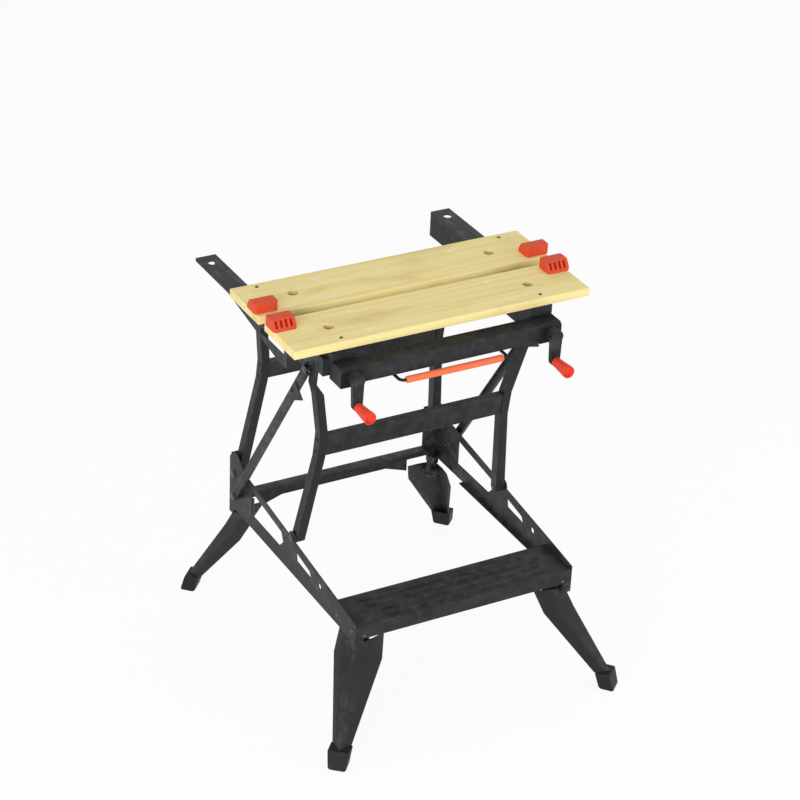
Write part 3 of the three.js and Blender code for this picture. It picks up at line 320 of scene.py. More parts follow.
def moulded_grain():
    """Shared fine relief: the peel of sprayed paint or the spark-eroded grain of a moulding."""
    value = "NodeSocketFloat"
    tree, given, out = shader_group("moulded_grain", [("Coarse", value, 0.5)], [("Height", value)])
    place = stretched(tree, (1, 1, 1))
    small = noise(tree, place, 900, detail=2)
    broad = times(tree, noise(tree, place, 170, detail=2), given.outputs["Coarse"])
    add = tree.nodes.new("ShaderNodeMath")
    add.operation = "ADD"
    tree.links.new(small, add.inputs[0])
    tree.links.new(broad, add.inputs[1])
    tree.links.new(add.outputs[0], out.inputs["Height"])
    return tree


def timber_figure():
    """Shared board figure: long streaks, soft brown clouds and fine pores along the board."""
    colour, value = "NodeSocketColor", "NodeSocketFloat"
    tree, given, out = shader_group(
        "timber_figure",
        [("Pale", colour, (0.8, 0.65, 0.3, 1)), ("Streak", colour, (0.66, 0.47, 0.16, 1))],
        [("Color", colour), ("Roughness", value), ("Height", value)],
    )
    long_streak = noise(tree, stretched(tree, (1.6, 95, 60)), 1, detail=6, roughness=0.62)
    strip = noise(tree, stretched(tree, (0.35, 21, 9)), 1, detail=1)
    cloud = noise(tree, stretched(tree, (7, 19, 12)), 1, detail=3)
    pore = noise(tree, stretched(tree, (24, 900, 600)), 1, detail=2)
    streaked = ramp(tree, long_streak, 0.42, 0.78, 0, 0.75)
    shade = mixed(tree, streaked, given.outputs["Pale"], given.outputs["Streak"])
    shade = mixed(tree, ramp(tree, strip, 0.4, 0.68, 0, 0.3), shade, given.outputs["Streak"])
    shade = mixed(tree, ramp(tree, cloud, 0.53, 0.78, 0, 0.5), shade, (0.6, 0.39, 0.12, 1))
    shade = mixed(tree, ramp(tree, pore, 0.62, 0.8, 0, 0.22), shade, (0.42, 0.27, 0.09, 1))
    tree.links.new(shade, out.inputs["Color"])
    tree.links.new(ramp(tree, long_streak, 0.3, 0.8, 0.55, 0.7), out.inputs["Roughness"])
    tree.links.new(pore, out.inputs["Height"])
    return tree


GROUPS = {}


def group_node(tree, name):
    """Places a shared shader group, building it the first time."""
    makers = {
        "handled_surface": handled_surface, "moulded_grain": moulded_grain, "timber_figure": timber_figure,
    }
    if name not in GROUPS:
        GROUPS[name] = makers[name]()
    node = tree.nodes.new("ShaderNodeGroup")
    node.node_tree = GROUPS[name]
    return node


def bare_material(name):
    made = bpy.data.materials.new(name)
    made.use_nodes = True
    return made, made.node_tree, made.node_tree.nodes["Principled BSDF"]


def relief(tree, shader, height, strength, distance):
    bump = tree.nodes.new("ShaderNodeBump")
    set_inputs(bump, {"Strength": strength, "Distance": distance})
    tree.links.new(height, bump.inputs["Height"])
    tree.links.new(bump.outputs["Normal"], shader.inputs["Normal"])


def coated(
    name, colour, edge, roughness, mottle=0.006, dust=0.003, coarse=0.5, bump=0.12, gloss=0.14, hollow=0.0,
):
    """Paint or moulded plastic with worn edges, painted shade in hollows, mottling, dust and a fine relief.
    """
    made, tree, shader = bare_material(name)
    worn = group_node(tree, "handled_surface")
    set_inputs(worn, {
        "Base": (*colour, 1), "Edge": (*edge, 1), "Edge Amount": 0.5,
        "Mottle": mottle, "Dust Amount": dust, "Roughness": roughness,
        # Painted shade in hollows: the colour squared, as for light bounced between the walls of a slot.
        "Hollow": (*(c * c for c in colour), 1), "Hollow Amount": hollow,
    })
    tree.links.new(worn.outputs["Color"], shader.inputs["Base Color"])
    tree.links.new(worn.outputs["Roughness"], shader.inputs["Roughness"])
    grain = group_node(tree, "moulded_grain")
    grain.inputs["Coarse"].default_value = coarse
    relief(tree, shader, grain.outputs["Height"], bump, 0.0004)
    shader.inputs["Specular IOR Level"].default_value = gloss
    return made


def lighter(colour, share):
    return tuple(c + (1 - c) * share for c in colour)


def finishes():
    """All the bench's materials by name, made once."""
    made = {m.name: m for m in bpy.data.materials if m.name.startswith("bench_")}
    if made:
        return made
    colours = bpy.context.scene.bench_colours
    paint = tuple(colours.paint)
    # The tread is the paint with painted shade darkening the hollows between the step's ribs.
    for name, hollow in (("paint", 0.0), ("tread", 1.0)):
        coated(f"bench_{name}", paint, lighter(paint, 0.1), 0.44, coarse=0.7, bump=0.03, hollow=hollow)
    moulding = tuple(colours.moulding)
    coated("bench_moulding", moulding, lighter(moulding, 0.08), 0.5, coarse=0.2, bump=0.06)
    # Pegs, grips and sleeve carry painted shade in their slots and hollows.
    for name in ("peg", "grip", "sleeve"):
        colour = tuple(getattr(colours, name))
        edge = lighter(colour, 0.08)
        coated(
            f"bench_{name}", colour, edge, 0.42, mottle=0.08, coarse=0.2, bump=0.1, gloss=0.12, hollow=0.85,
        )
    plating = tuple(colours.plating)
    bright = (0.4, 0.4, 0.4)
    plate = coated("bench_plating", plating, bright, 0.36, dust=0.05, coarse=0.3, bump=0.06, gloss=0.5)
    plate.node_tree.nodes["Principled BSDF"].inputs["Metallic"].default_value = 0.9
    timber, tree, shader = bare_material("bench_timber")
    figure = group_node(tree, "timber_figure")
    set_inputs(figure, {"Pale": (*colours.timber, 1), "Streak": (*colours.timber_dark, 1)})
    tree.links.new(figure.outputs["Color"], shader.inputs["Base Color"])
    tree.links.new(figure.outputs["Roughness"], shader.inputs["Roughness"])
    relief(tree, shader, figure.outputs["Height"], 0.12, 0.0005)
    shader.inputs["Specular IOR Level"].default_value = 0.15
    plug, tree, shader = bare_material("bench_plug")
    figure = group_node(tree, "timber_figure")
    set_inputs(figure, {"Pale": (0.88, 0.76, 0.46, 1), "Streak": (0.78, 0.62, 0.3, 1)})
    tree.links.new(figure.outputs["Color"], shader.inputs["Base Color"])
    shader.inputs["Roughness"].default_value = 0.4
    return {m.name: m for m in bpy.data.materials if m.name.startswith("bench_")}


# Mesh building blocks


def place_on_body(name, mesh, body, material, nodes=()):
    """A finished piece at the origin, riding on its body in place of the nodes it stands for."""
    mesh.materials.clear()
    mesh.materials.append(finishes()[material])
    piece = bpy.data.objects.new(name, mesh)
    bpy.context.scene.collection.objects.link(piece)
    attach(piece, body)
    if nodes:
        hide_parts(*nodes)
    return piece


def evaluated_mesh(piece):
    """The piece's mesh with its modifiers applied, as a plain mesh."""
    graph = bpy.context.evaluated_depsgraph_get()
    return bpy.data.meshes.new_from_object(
        piece.evaluated_get(graph), preserve_all_data_layers=True, depsgraph=graph,
    )


def eased(value, low, high):
    """How far a value lies between two bounds, from 0 to 1."""
    return min(1, max(0, (value - low) / (high - low)))


def mark_edges(mesh):
    """Stores at each point how sharply the surface turns and how far it is hollowed, for wear and shade."""
    shape = bmesh.new()
    shape.from_mesh(mesh)
    shape.normal_update()
    turns, hollows = [], []
    for v in shape.verts:
        sharpest = max((1 - v.normal.dot(f.normal) for f in v.link_faces), default=0)
        turns.append(eased(sharpest, 0.02, 0.08))
        # The hollow value is the mask for the painted shade in hollows.
        rises = [(e.other_vert(v).co - v.co).normalized().dot(v.normal) for e in v.link_edges]
        hollows.append(eased(sum(rises) / max(1, len(rises)), 0.02, 0.15))
    shape.free()
    for label, values in (("edge", turns), ("hollow", hollows)):
        layer = mesh.attributes.new(label, "FLOAT", "POINT")
        layer.data.foreach_set("value", values)


def merged_copy(node):
    """A copy of a node's mesh with its triangles laid out afresh over each flat face."""
    source = frame["nodes"][node].data
    mesh = bpy.data.meshes.new(f"{node}_finished")
    mesh.from_pydata([v.co.copy() for v in source.vertices], [], [list(p.vertices) for p in source.polygons])
    shape = bmesh.new()
    shape.from_mesh(mesh)
    bmesh.ops.remove_doubles(shape, verts=shape.verts, dist=MERGE)
    bmesh.ops.dissolve_limit(shape, angle_limit=FLAT, verts=shape.verts, edges=shape.edges)
    bmesh.ops.triangulate(shape, faces=[face for face in shape.faces if len(face.verts) > 4])
    shape.to_mesh(mesh)
    shape.free()
    return mesh


def edge_room(edge):
    """How wide an edge can be rounded before it runs into another edge of its faces."""
    room = math.inf
    start, end = edge.verts
    for other in {e for face in edge.link_faces for e in face.edges if e is not edge}:
        shared = [v for v in other.verts if v in (start, end)]
        if shared:
            corner = shared[0]
            along = other.other_vert(corner).co - corner.co
            lean = along.angle(edge.other_vert(corner).co - corner.co)
            if lean < STRAIGHT:
                room = min(room, along.length * math.sin(lean))
            continue
        first, second = (v.co for v in other.verts)
        for share in (0.02, 0.25, 0.5, 0.75, 0.98):
            point = start.co.lerp(end.co, share)
            nearest = intersect_point_line(point, first, second)[1]
            room = min(room, (point - first.lerp(second, min(1, max(0, nearest)))).length)
    return 0.45 * room


def weigh_edges(mesh, width):
    """Marks each sharp edge with the share of the rounding it has room for."""
    shape = bmesh.new()
    shape.from_mesh(mesh)
    weight = shape.edges.layers.float.new("bevel_weight_edge")
    for edge in shape.edges:
        if edge.calc_face_angle(0) > CREASE:
            edge[weight] = min(1, edge_room(edge) / width)
    shape.to_mesh(mesh)
    shape.free()


def turned_over(mesh):
    """Area of the triangles that face against their own polygon, where a rounding ran too wide."""
    mesh.calc_loop_triangles()
    faces = mesh.polygons
    return sum(t.area for t in mesh.loop_triangles if t.normal.dot(faces[t.polygon_index].normal) < 0)


def rounded(mesh, width, segments=2):
    """The mesh with its sharp edges rounded, narrower where need be, and its shading smoothed over them."""
    weigh_edges(mesh, width)
    for polygon in mesh.polygons:
        polygon.use_smooth = True
    holder = bpy.data.objects.new("holder", mesh)
    bpy.context.scene.collection.objects.link(holder)
    bevel = holder.modifiers.new("round", "BEVEL")
    bevel.segments = segments
    bevel.limit_method = "WEIGHT"
    bevel.use_clamp_overlap = False
    even = holder.modifiers.new("even", "WEIGHTED_NORMAL")
    even.keep_sharp = True
    tries = []
    for share in ROUND_SHARES:
        bevel.width = share * width
        bpy.context.view_layer.update()
        tries.append(evaluated_mesh(holder))
        if turned_over(tries[-1]) < TURNED_LIMIT:
            break
    bpy.data.objects.remove(holder)
    made = min(tries, key=turned_over)
    mark_edges(made)
    return made


def folded_rims(mesh):
    """Presses a crease down both wings of a leg, with the rims beyond it turned back."""
    shape = bmesh.new()
    shape.from_mesh(mesh)
    points = [v.co.copy() for v in shape.verts]
    top, foot = max(p.z for p in points), min(p.z for p in points)
    tips = [p for p in points if p.z > top - MERGE]
    ends = [p for p in points if p.z < foot + MERGE]
    middle = sum(ends, Vector()) / len(ends)
    outward = middle - sum(tips, Vector()) / len(tips)
    outward.z = 0
    outward.normalize()
    across = outward.cross(Vector((0, 0, 1)))

    def offset(point):
        return (point - middle).dot(across)

    for sense in (-1, 1):
        hem = [max(level, key=lambda p: sense * offset(p)) for level in (tips, points, ends)]
        halves = [sense * offset(p) for p in hem]
        crease = [p - across * offset(p) * (1 - RIM_SHARE) for p in hem]
        for upper, lower in zip(crease, crease[1:]):
            wing = []
            for face in shape.faces:
                centre = face.calc_center_median()
                if sense * offset(centre) > 0 and lower.z < centre.z < upper.z:
                    wing.append(face)
            parts = {part for face in wing for part in (face, *face.edges, *face.verts)}
            made = bmesh.ops.bisect_plane(
                shape, geom=list(parts), dist=MERGE, plane_co=upper, plane_no=outward.cross(lower - upper),
            )
            for part in made["geom_cut"]:
                if isinstance(part, bmesh.types.BMEdge):
                    part.smooth = False
        for v in shape.verts:
            level = 0 if v.co.z > hem[1].z else 1
            down = eased(v.co.z, hem[level + 1].z, hem[level].z)
            half = halves[level + 1] + (halves[level] - halves[level + 1]) * down
            past = (sense * offset(v.co) / half - RIM_SHARE) / (1 - RIM_SHARE)
            if past > 0:
                v.co -= outward * RIM_FOLD * past * half / halves[1]
    shape.to_mesh(mesh)
    shape.free()


def finished(node, width, material, segments=2, reshape=None):
    """A rounded, finished stand-in for one node, reshaped first where asked."""
    mesh = merged_copy(node)
    if reshape:
        reshape(mesh)
    mesh = rounded(mesh, width, segments)
    return place_on_body(f"{node}_finished", mesh, BODY_OF[node], material, [node])


def turned(profile, origin, axis, segments=ROUND, ripple=None):
    """A turned shape: profile gives (distance along the axis, radius), ripple varies it round the axis."""
    axis = Vector(axis).normalized()
    side = axis.orthogonal().normalized()
    other = axis.cross(side)
    shape = bmesh.new()
    rings = []
    for along, radius in profile:
        middle = Vector(origin) + axis * along
        if radius < MERGE:
            rings.append([shape.verts.new(middle)])
            continue
        ring = []
        for i in range(segments):
            angle = 2 * math.pi * i / segments
            r = ripple(along, radius, angle) if ripple else radius
            ring.append(shape.verts.new(middle + r * (math.cos(angle) * side + math.sin(angle) * other)))
        rings.append(ring)
    for a, b in zip(rings, rings[1:]):
        for i in range(segments):
            j = (i + 1) % segments
            corners = [a[i % len(a)], a[j % len(a)], b[j % len(b)], b[i % len(b)]]
            shape.faces.new(list(dict.fromkeys(corners)))
    if len(rings[0]) > 1 and len(rings[-1]) > 1:
        raise ValueError("a turned profile starts and ends on its axis")
    bmesh.ops.recalc_face_normals(shape, faces=shape.faces)
    mesh = bpy.data.meshes.new("turned")
    shape.to_mesh(mesh)
    shape.free()
    mesh.shade_smooth()
    mesh.set_sharp_from_angle(angle=CREASE)
    return mesh


def combine(name, meshes):
    """Several meshes as one."""
    shape = bmesh.new()
    for mesh in meshes:
        shape.from_mesh(mesh)
    whole = bpy.data.meshes.new(name)
    shape.to_mesh(whole)
    shape.free()
    return whole


# Node trees that lay out repeated hardware


def link(tree, source, output, target, label):
    tree.links.new(source.outputs[output], target.inputs[label])


def geometry_tree(name, inputs):
    """A geometry tree with named inputs that returns its ends."""
    tree = bpy.data.node_groups.new(name, "GeometryNodeTree")
    for label, kind in inputs:
        tree.interface.new_socket(label, in_out="INPUT", socket_type=kind)
    tree.interface.new_socket("Geometry", in_out="OUTPUT", socket_type="NodeSocketGeometry")
    return tree, tree.nodes.new("NodeGroupInput"), tree.nodes.new("NodeGroupOutput")


def close_tree(tree, source, output, given, out):
    """Ends a tree in plain geometry with the given material."""
    realize = tree.nodes.new("GeometryNodeRealizeInstances")
    dress = tree.nodes.new("GeometryNodeSetMaterial")
    link(tree, source, output, realize, "Geometry")
    link(tree, realize, "Geometry", dress, "Geometry")
    link(tree, given, "Material", dress, "Material")
    link(tree, dress, "Geometry", out, "Geometry")


def heads_tree():
    """Heads set on points, each facing its point's own way at its own size."""
    tree, given, out = geometry_tree("fastener_heads", [
        ("Geometry", "NodeSocketGeometry"), ("Head", "NodeSocketObject"), ("Material", "NodeSocketMaterial"),
    ])
    facing = tree.nodes.new("GeometryNodeInputNamedAttribute")
    facing.data_type = "FLOAT_VECTOR"
    facing.inputs["Name"].default_value = "facing"
    size = tree.nodes.new("GeometryNodeInputNamedAttribute")
    size.data_type = "FLOAT"
    size.inputs["Name"].default_value = "size"
    turn = tree.nodes.new("FunctionNodeAlignRotationToVector")
    turn.axis = "Z"
    head = tree.nodes.new("GeometryNodeObjectInfo")
    spread = tree.nodes.new("GeometryNodeInstanceOnPoints")
    link(tree, given, "Head", head, "Object")
    link(tree, given, "Geometry", spread, "Points")
    link(tree, head, "Geometry", spread, "Instance")
    link(tree, facing, "Attribute", turn, "Vector")
    link(tree, turn, "Rotation", spread, "Rotation")
    link(tree, size, "Attribute", spread, "Scale")
    close_tree(tree, spread, "Instances", given, out)
    return tree


def thread_tree():
    """A thread ridge wound round the z axis."""
    tree, given, out = geometry_tree("thread_ridge", [
        ("Geometry", "NodeSocketGeometry"), ("Turns", "NodeSocketFloat"), ("Length", "NodeSocketFloat"),
        ("Radius", "NodeSocketFloat"), ("Depth", "NodeSocketFloat"), ("Material", "NodeSocketMaterial"),
    ])
    helix = tree.nodes.new("GeometryNodeCurveSpiral")
    helix.inputs["Resolution"].default_value = 20
    section = tree.nodes.new("GeometryNodeCurvePrimitiveCircle")
    section.inputs["Resolution"].default_value = 6
    wind = tree.nodes.new("GeometryNodeCurveToMesh")
    wind.inputs["Fill Caps"].default_value = True
    link(tree, given, "Turns", helix, "Rotations")
    link(tree, given, "Length", helix, "Height")
    link(tree, given, "Radius", helix, "Start Radius")
    link(tree, given, "Radius", helix, "End Radius")
    link(tree, given, "Depth", section, "Radius")
    link(tree, helix, "Curve", wind, "Curve")
    link(tree, section, "Curve", wind, "Profile Curve")
    close_tree(tree, wind, "Mesh", given, out)
    return tree


def wire_tree():
    """A round wire along a line of points, bent to a radius at each corner."""
    tree, given, out = geometry_tree("bent_wire", [
        ("Geometry", "NodeSocketGeometry"), ("Bend", "NodeSocketFloat"), ("Radius", "NodeSocketFloat"),
        ("Material", "NodeSocketMaterial"),
    ])
    line = tree.nodes.new("GeometryNodeMeshToCurve")
    bend = tree.nodes.new("GeometryNodeFilletCurve")
    bend.mode = "POLY"
    bend.inputs["Count"].default_value = 8
    section = tree.nodes.new("GeometryNodeCurvePrimitiveCircle")
    section.inputs["Resolution"].default_value = 18
    draw = tree.nodes.new("GeometryNodeCurveToMesh")
    draw.inputs["Fill Caps"].default_value = True
    link(tree, given, "Geometry", line, "Mesh")
    link(tree, line, "Curve", bend, "Curve")
    link(tree, given, "Bend", bend, "Radius")
    link(tree, given, "Radius", section, "Radius")
    link(tree, bend, "Curve", draw, "Curve")
    link(tree, section, "Curve", draw, "Profile Curve")
    close_tree(tree, draw, "Mesh", given, out)
    return tree


def run_tree(tree, mesh, values):
    """Runs a geometry tree over a mesh with the given inputs and returns a plain mesh."""
    holder = bpy.data.objects.new("holder", mesh)
    bpy.context.scene.collection.objects.link(holder)
    modifier = holder.modifiers.new("lay out", "NODES")
    modifier.node_group = tree
    sockets = {s.name: s.identifier for s in tree.interface.items_tree if s.in_out == "INPUT"}
    for label, value in values.items():
        modifier[sockets[label]] = value
    made = evaluated_mesh(holder)
    bpy.data.objects.remove(holder)
    return made


# Pieces


class BENCH_OT_pressed_steel(bpy.types.Operator):
    """Round and paint the pressed steel of the base, frames, struts and top"""

    bl_idname = "bench.pressed_steel"
    bl_label = "Pressed steel"

    def execute(self, context):
        sizes = context.scene.bench_sizes
        sheet = ["rear_bar", "front_beam"]
        stout = ["front_crossbar", "rear_crossbar"]
        for side, _ in SIDES:
            sheet += [f"base_side_{side}", f"side_rail_{side}", f"vise_channel_{side}", f"strut_{side}"]
            stout += [f"front_frame_leg_{side}", f"rear_frame_leg_{side}", f"front_jaw_carrier_{side}"]
        # The step's tread material carries painted shade between its ribs.
        finished("step", sizes.sheet_round, "bench_tread")
        for node in sheet:
            finished(node, sizes.sheet_round, "bench_paint")
        for node in stout:
            finished(node, sizes.frame_round, "bench_paint")
        return {"FINISHED"}


class BENCH_OT_fold_legs(bpy.types.Operator):
    """Round and finish the fold-out legs and their moulded feet"""

    bl_idname = "bench.fold_legs"
    bl_label = "Fold-out legs"

    def execute(self, context):
        sizes = context.scene.bench_sizes
        for corner in CORNERS:
            finished(f"leg_{corner}", sizes.frame_round, "bench_paint", reshape=folded_rims)
            finished(f"foot_{corner}", sizes.foot_round, "bench_moulding", segments=4)
            finished(f"leg_pin_{corner}", sizes.sheet_round, "bench_plating")
        return {"FINISHED"}


class BENCH_OT_jaws(bpy.types.Operator):
    """Ease the edges of the jaw boards, give them timber figure and finish their nuts"""

    bl_idname = "bench.jaws"
    bl_label = "Jaw boards"

    def execute(self, context):
        sizes = context.scene.bench_sizes
        for node in ("front_jaw", "rear_jaw"):
            finished(node, sizes.jaw_round, "bench_timber", segments=3)
        for side, _ in SIDES:
            finished(f"jaw_nut_{side}", sizes.frame_round, "bench_moulding")
        return {"FINISHED"}


class BENCH_OT_cranks(bpy.types.Operator):
    """Finish the vise caps and crank arms and turn the fluted grips and threaded screws"""

    bl_idname = "bench.cranks"
    bl_label = "Cranks and screws"

    def execute(self, context):
        sizes = context.scene.bench_sizes
        for side, _ in SIDES:
            finished(f"vise_cap_{side}", sizes.cap_round, "bench_moulding", segments=3)
            finished(f"crank_arm_{side}", sizes.cap_round, "bench_moulding", segments=3)
            self.grip(side, sizes.flutes)
            self.screw(side, sizes)
        return {"FINISHED"}

    def grip(self, side, flutes):
        """A flared grip with shallow flutes, a rolled rim and a hollow end."""
        node = f"crank_grip_{side}"
        low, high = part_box(node)
        wide = (high[0] - low[0]) / 2
        length = high[1] - low[1]
        middle = ((low[0] + high[0]) / 2, high[1], (low[2] + high[2]) / 2)
        bore, neck, rim, recess = 0.00545, 0.75 * wide, 0.0022, 0.0056
        shares = (0.06, 0.2, 0.35, 0.5, 0.65, 0.8, 0.92)
        flare = [(share * (length - recess), neck + (wide - neck) * share) for share in shares]
        profile = [(0.0006, 0), (0.0006, bore - 0.0004), (0, bore), (0, neck - 0.0012), (0.0012, neck)]
        profile += flare
        profile += [
            (length - recess, wide), (length - 0.0012, wide), (length - 0.0004, wide - 0.0004),
            (length, wide - rim / 2), (length - 0.0004, wide - rim + 0.0003), (length - 0.0012, wide - rim),
            (length - recess + 0.0008, wide - rim - 0.0003), (length - recess, wide - rim - 0.001),
            (length - recess, 0),
        ]
        start, end = flare[0][0], flare[-1][0]

        def fluted(along, radius, angle):
            if along < start or along > end or radius < neck:
                return radius
            share = (along - start) / (end - start)
            return radius - 0.0004 * math.sin(math.pi * share) * (1 + math.cos(flutes * angle))

        mesh = turned(profile, middle, (0, -1, 0), segments=max(ROUND, 8 * flutes), ripple=fluted)
        place_on_body(f"{node}_finished", mesh, BODY_OF[node], "bench_grip", [node])

    def screw(self, side, sizes):
        """A plain front end and a wound thread along the rest, inside the solid's own radius."""
        node = f"vise_screw_{side}"
        low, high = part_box(node)
        radius = (high[2] - low[2]) / 2
        core = radius - sizes.thread_depth
        middle = ((low[0] + high[0]) / 2, low[1], (low[2] + high[2]) / 2)
        cap_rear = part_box(f"vise_cap_{side}")[1][1] - low[1]
        length = high[1] - low[1]
        profile = [
            (0, 0), (0, core), (0.001, radius), (cap_rear - 0.002, radius), (cap_rear, core),
            (length - 0.0015, core), (length, core - 0.0015), (length, 0),
        ]
        shaft = turned(profile, middle, (0, 1, 0))
        threaded = length - cap_rear - 0.003
        ridge = run_tree(thread_tree(), bpy.data.meshes.new("seed"), {
            "Turns": threaded / sizes.thread_pitch, "Length": threaded, "Radius": core - 0.0001,
            "Depth": sizes.thread_depth, "Material": finishes()["bench_plating"],
        })
        start = Vector(middle) + Vector((0, cap_rear + 0.001, 0))
        ridge.transform(Matrix.Translation(start) @ Matrix.Rotation(-math.pi / 2, 4, "X"))
        for polygon in ridge.polygons:
            polygon.use_smooth = True
        mesh = combine(f"{node}_finished", [shaft, ridge])
        place_on_body(f"{node}_finished", mesh, BODY_OF[node], "bench_plating", [node])


class BENCH_OT_pegs(bpy.types.Operator):
    """Round and colour the swivel pegs"""

    bl_idname = "bench.pegs"
    bl_label = "Swivel pegs"

    def execute(self, context):
        width = context.scene.bench_sizes.peg_round
        for end in ("front", "rear"):
            for side, _ in SIDES:
                finished(f"peg_{end}_{side}", width, "bench_peg", segments=3)
        return {"FINISHED"}


class BENCH_OT_release(bpy.types.Operator):
    """Bend the release wire and mould the sleeve over its front bar"""

    bl_idname = "bench.release"
    bl_label = "Release bar"

    def execute(self, context):
        bend = context.scene.bench_sizes.wire_bend
        self.wire("release_wire", bend)
        self.sleeve("release_sleeve")
        return {"FINISHED"}

    def wire(self, node, bend):
        """The wire runs forward from one guide, across the front and back to the other guide."""
        low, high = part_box(node)
        radius = (high[2] - low[2]) / 2
        level = (low[2] + high[2]) / 2
        half = high[0] - radius
        front = low[1] + radius
        path = bpy.data.meshes.new("path")
        rear = high[1]
        places = [(-half, rear, level), (-half, front, level), (half, front, level), (half, rear, level)]
        path.from_pydata(places, [(0, 1), (1, 2), (2, 3)], [])
        mesh = run_tree(wire_tree(), path, {
            "Bend": bend, "Radius": radius, "Material": finishes()["bench_moulding"],
        })
        mesh.shade_smooth()
        mesh.set_sharp_from_angle(angle=CREASE)
        place_on_body(f"{node}_finished", mesh, BODY_OF[node], "bench_moulding", [node])

    def sleeve(self, node):
        """A soft sleeve with rounded ends."""
        low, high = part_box(node)
        thick = (high[2] - low[2]) / 2
        length = high[0] - low[0]
        middle = (low[0], (low[1] + high[1]) / 2, (low[2] + high[2]) / 2)
        ease = 0.0016
        near_end = [(0, 0), (0, thick - ease), (0.3 * ease, thick - 0.35 * ease), (ease, thick)]
        far_end = [(length - along, radius) for along, radius in reversed(near_end)]
        mesh = turned(near_end + far_end, middle, (1, 0, 0))
        place_on_body(f"{node}_finished", mesh, BODY_OF[node], "bench_sleeve", [node])


class BENCH_OT_pivot_pins(bpy.types.Operator):
    """Turn the pivot pins with domed heads"""

    bl_idname = "bench.pivot_pins"
    bl_label = "Pivot pins"

    def execute(self, context):
        for side, sense in SIDES:
            for stem in ("front_lower_pin", "rear_lower_pin", "front_upper_pin"):
                self.pin(f"{stem}_{side}", sense, PIN_HEAD)
            self.pin(f"rear_upper_pin_{side}", sense, THIN_PIN_HEAD)
            strut_low, strut_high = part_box(f"strut_{side}")
            strut_in = min(abs(strut_low[0]), abs(strut_high[0])) - PIN_CLEARANCE
            plate = max(abs(c[0]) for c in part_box(f"base_side_{side}")) + PIN_CLEARANCE
            self.pin(f"strut_pin_{side}", sense, PIN_HEAD, collar=(plate, strut_in))
        return {"FINISHED"}

    def pin(self, node, sense, thick, collar=None):
        """One pin: its outer end carries a domed head, and a collar may sit further in."""
        low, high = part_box(node)
        inner, outer = sorted((abs(low[0]), abs(high[0])))
        middle = (0, (low[1] + high[1]) / 2, (low[2] + high[2]) / 2)
        radius = (high[2] - low[2]) / 2
        base = outer - thick
        profile = [(inner, 0), (inner, PIN_SHAFT - PIN_EASE), (inner + PIN_EASE, PIN_SHAFT)]
        if collar:
            start, end = collar
            profile += [(start, PIN_SHAFT), (start, radius), (end, radius), (end, PIN_SHAFT)]
        profile += [
            (base, PIN_SHAFT), (base, radius - PIN_EASE / 2), (base + PIN_EASE / 2, radius),
            (outer - 0.55 * thick, radius), (outer - 0.25 * thick, 0.86 * radius),
            (outer - 0.06 * thick, 0.55 * radius), (outer, 0),
        ]
        mesh = turned(profile, middle, (sense, 0, 0))
        place_on_body(f"{node}_finished", mesh, BODY_OF[node], "bench_plating", [node])


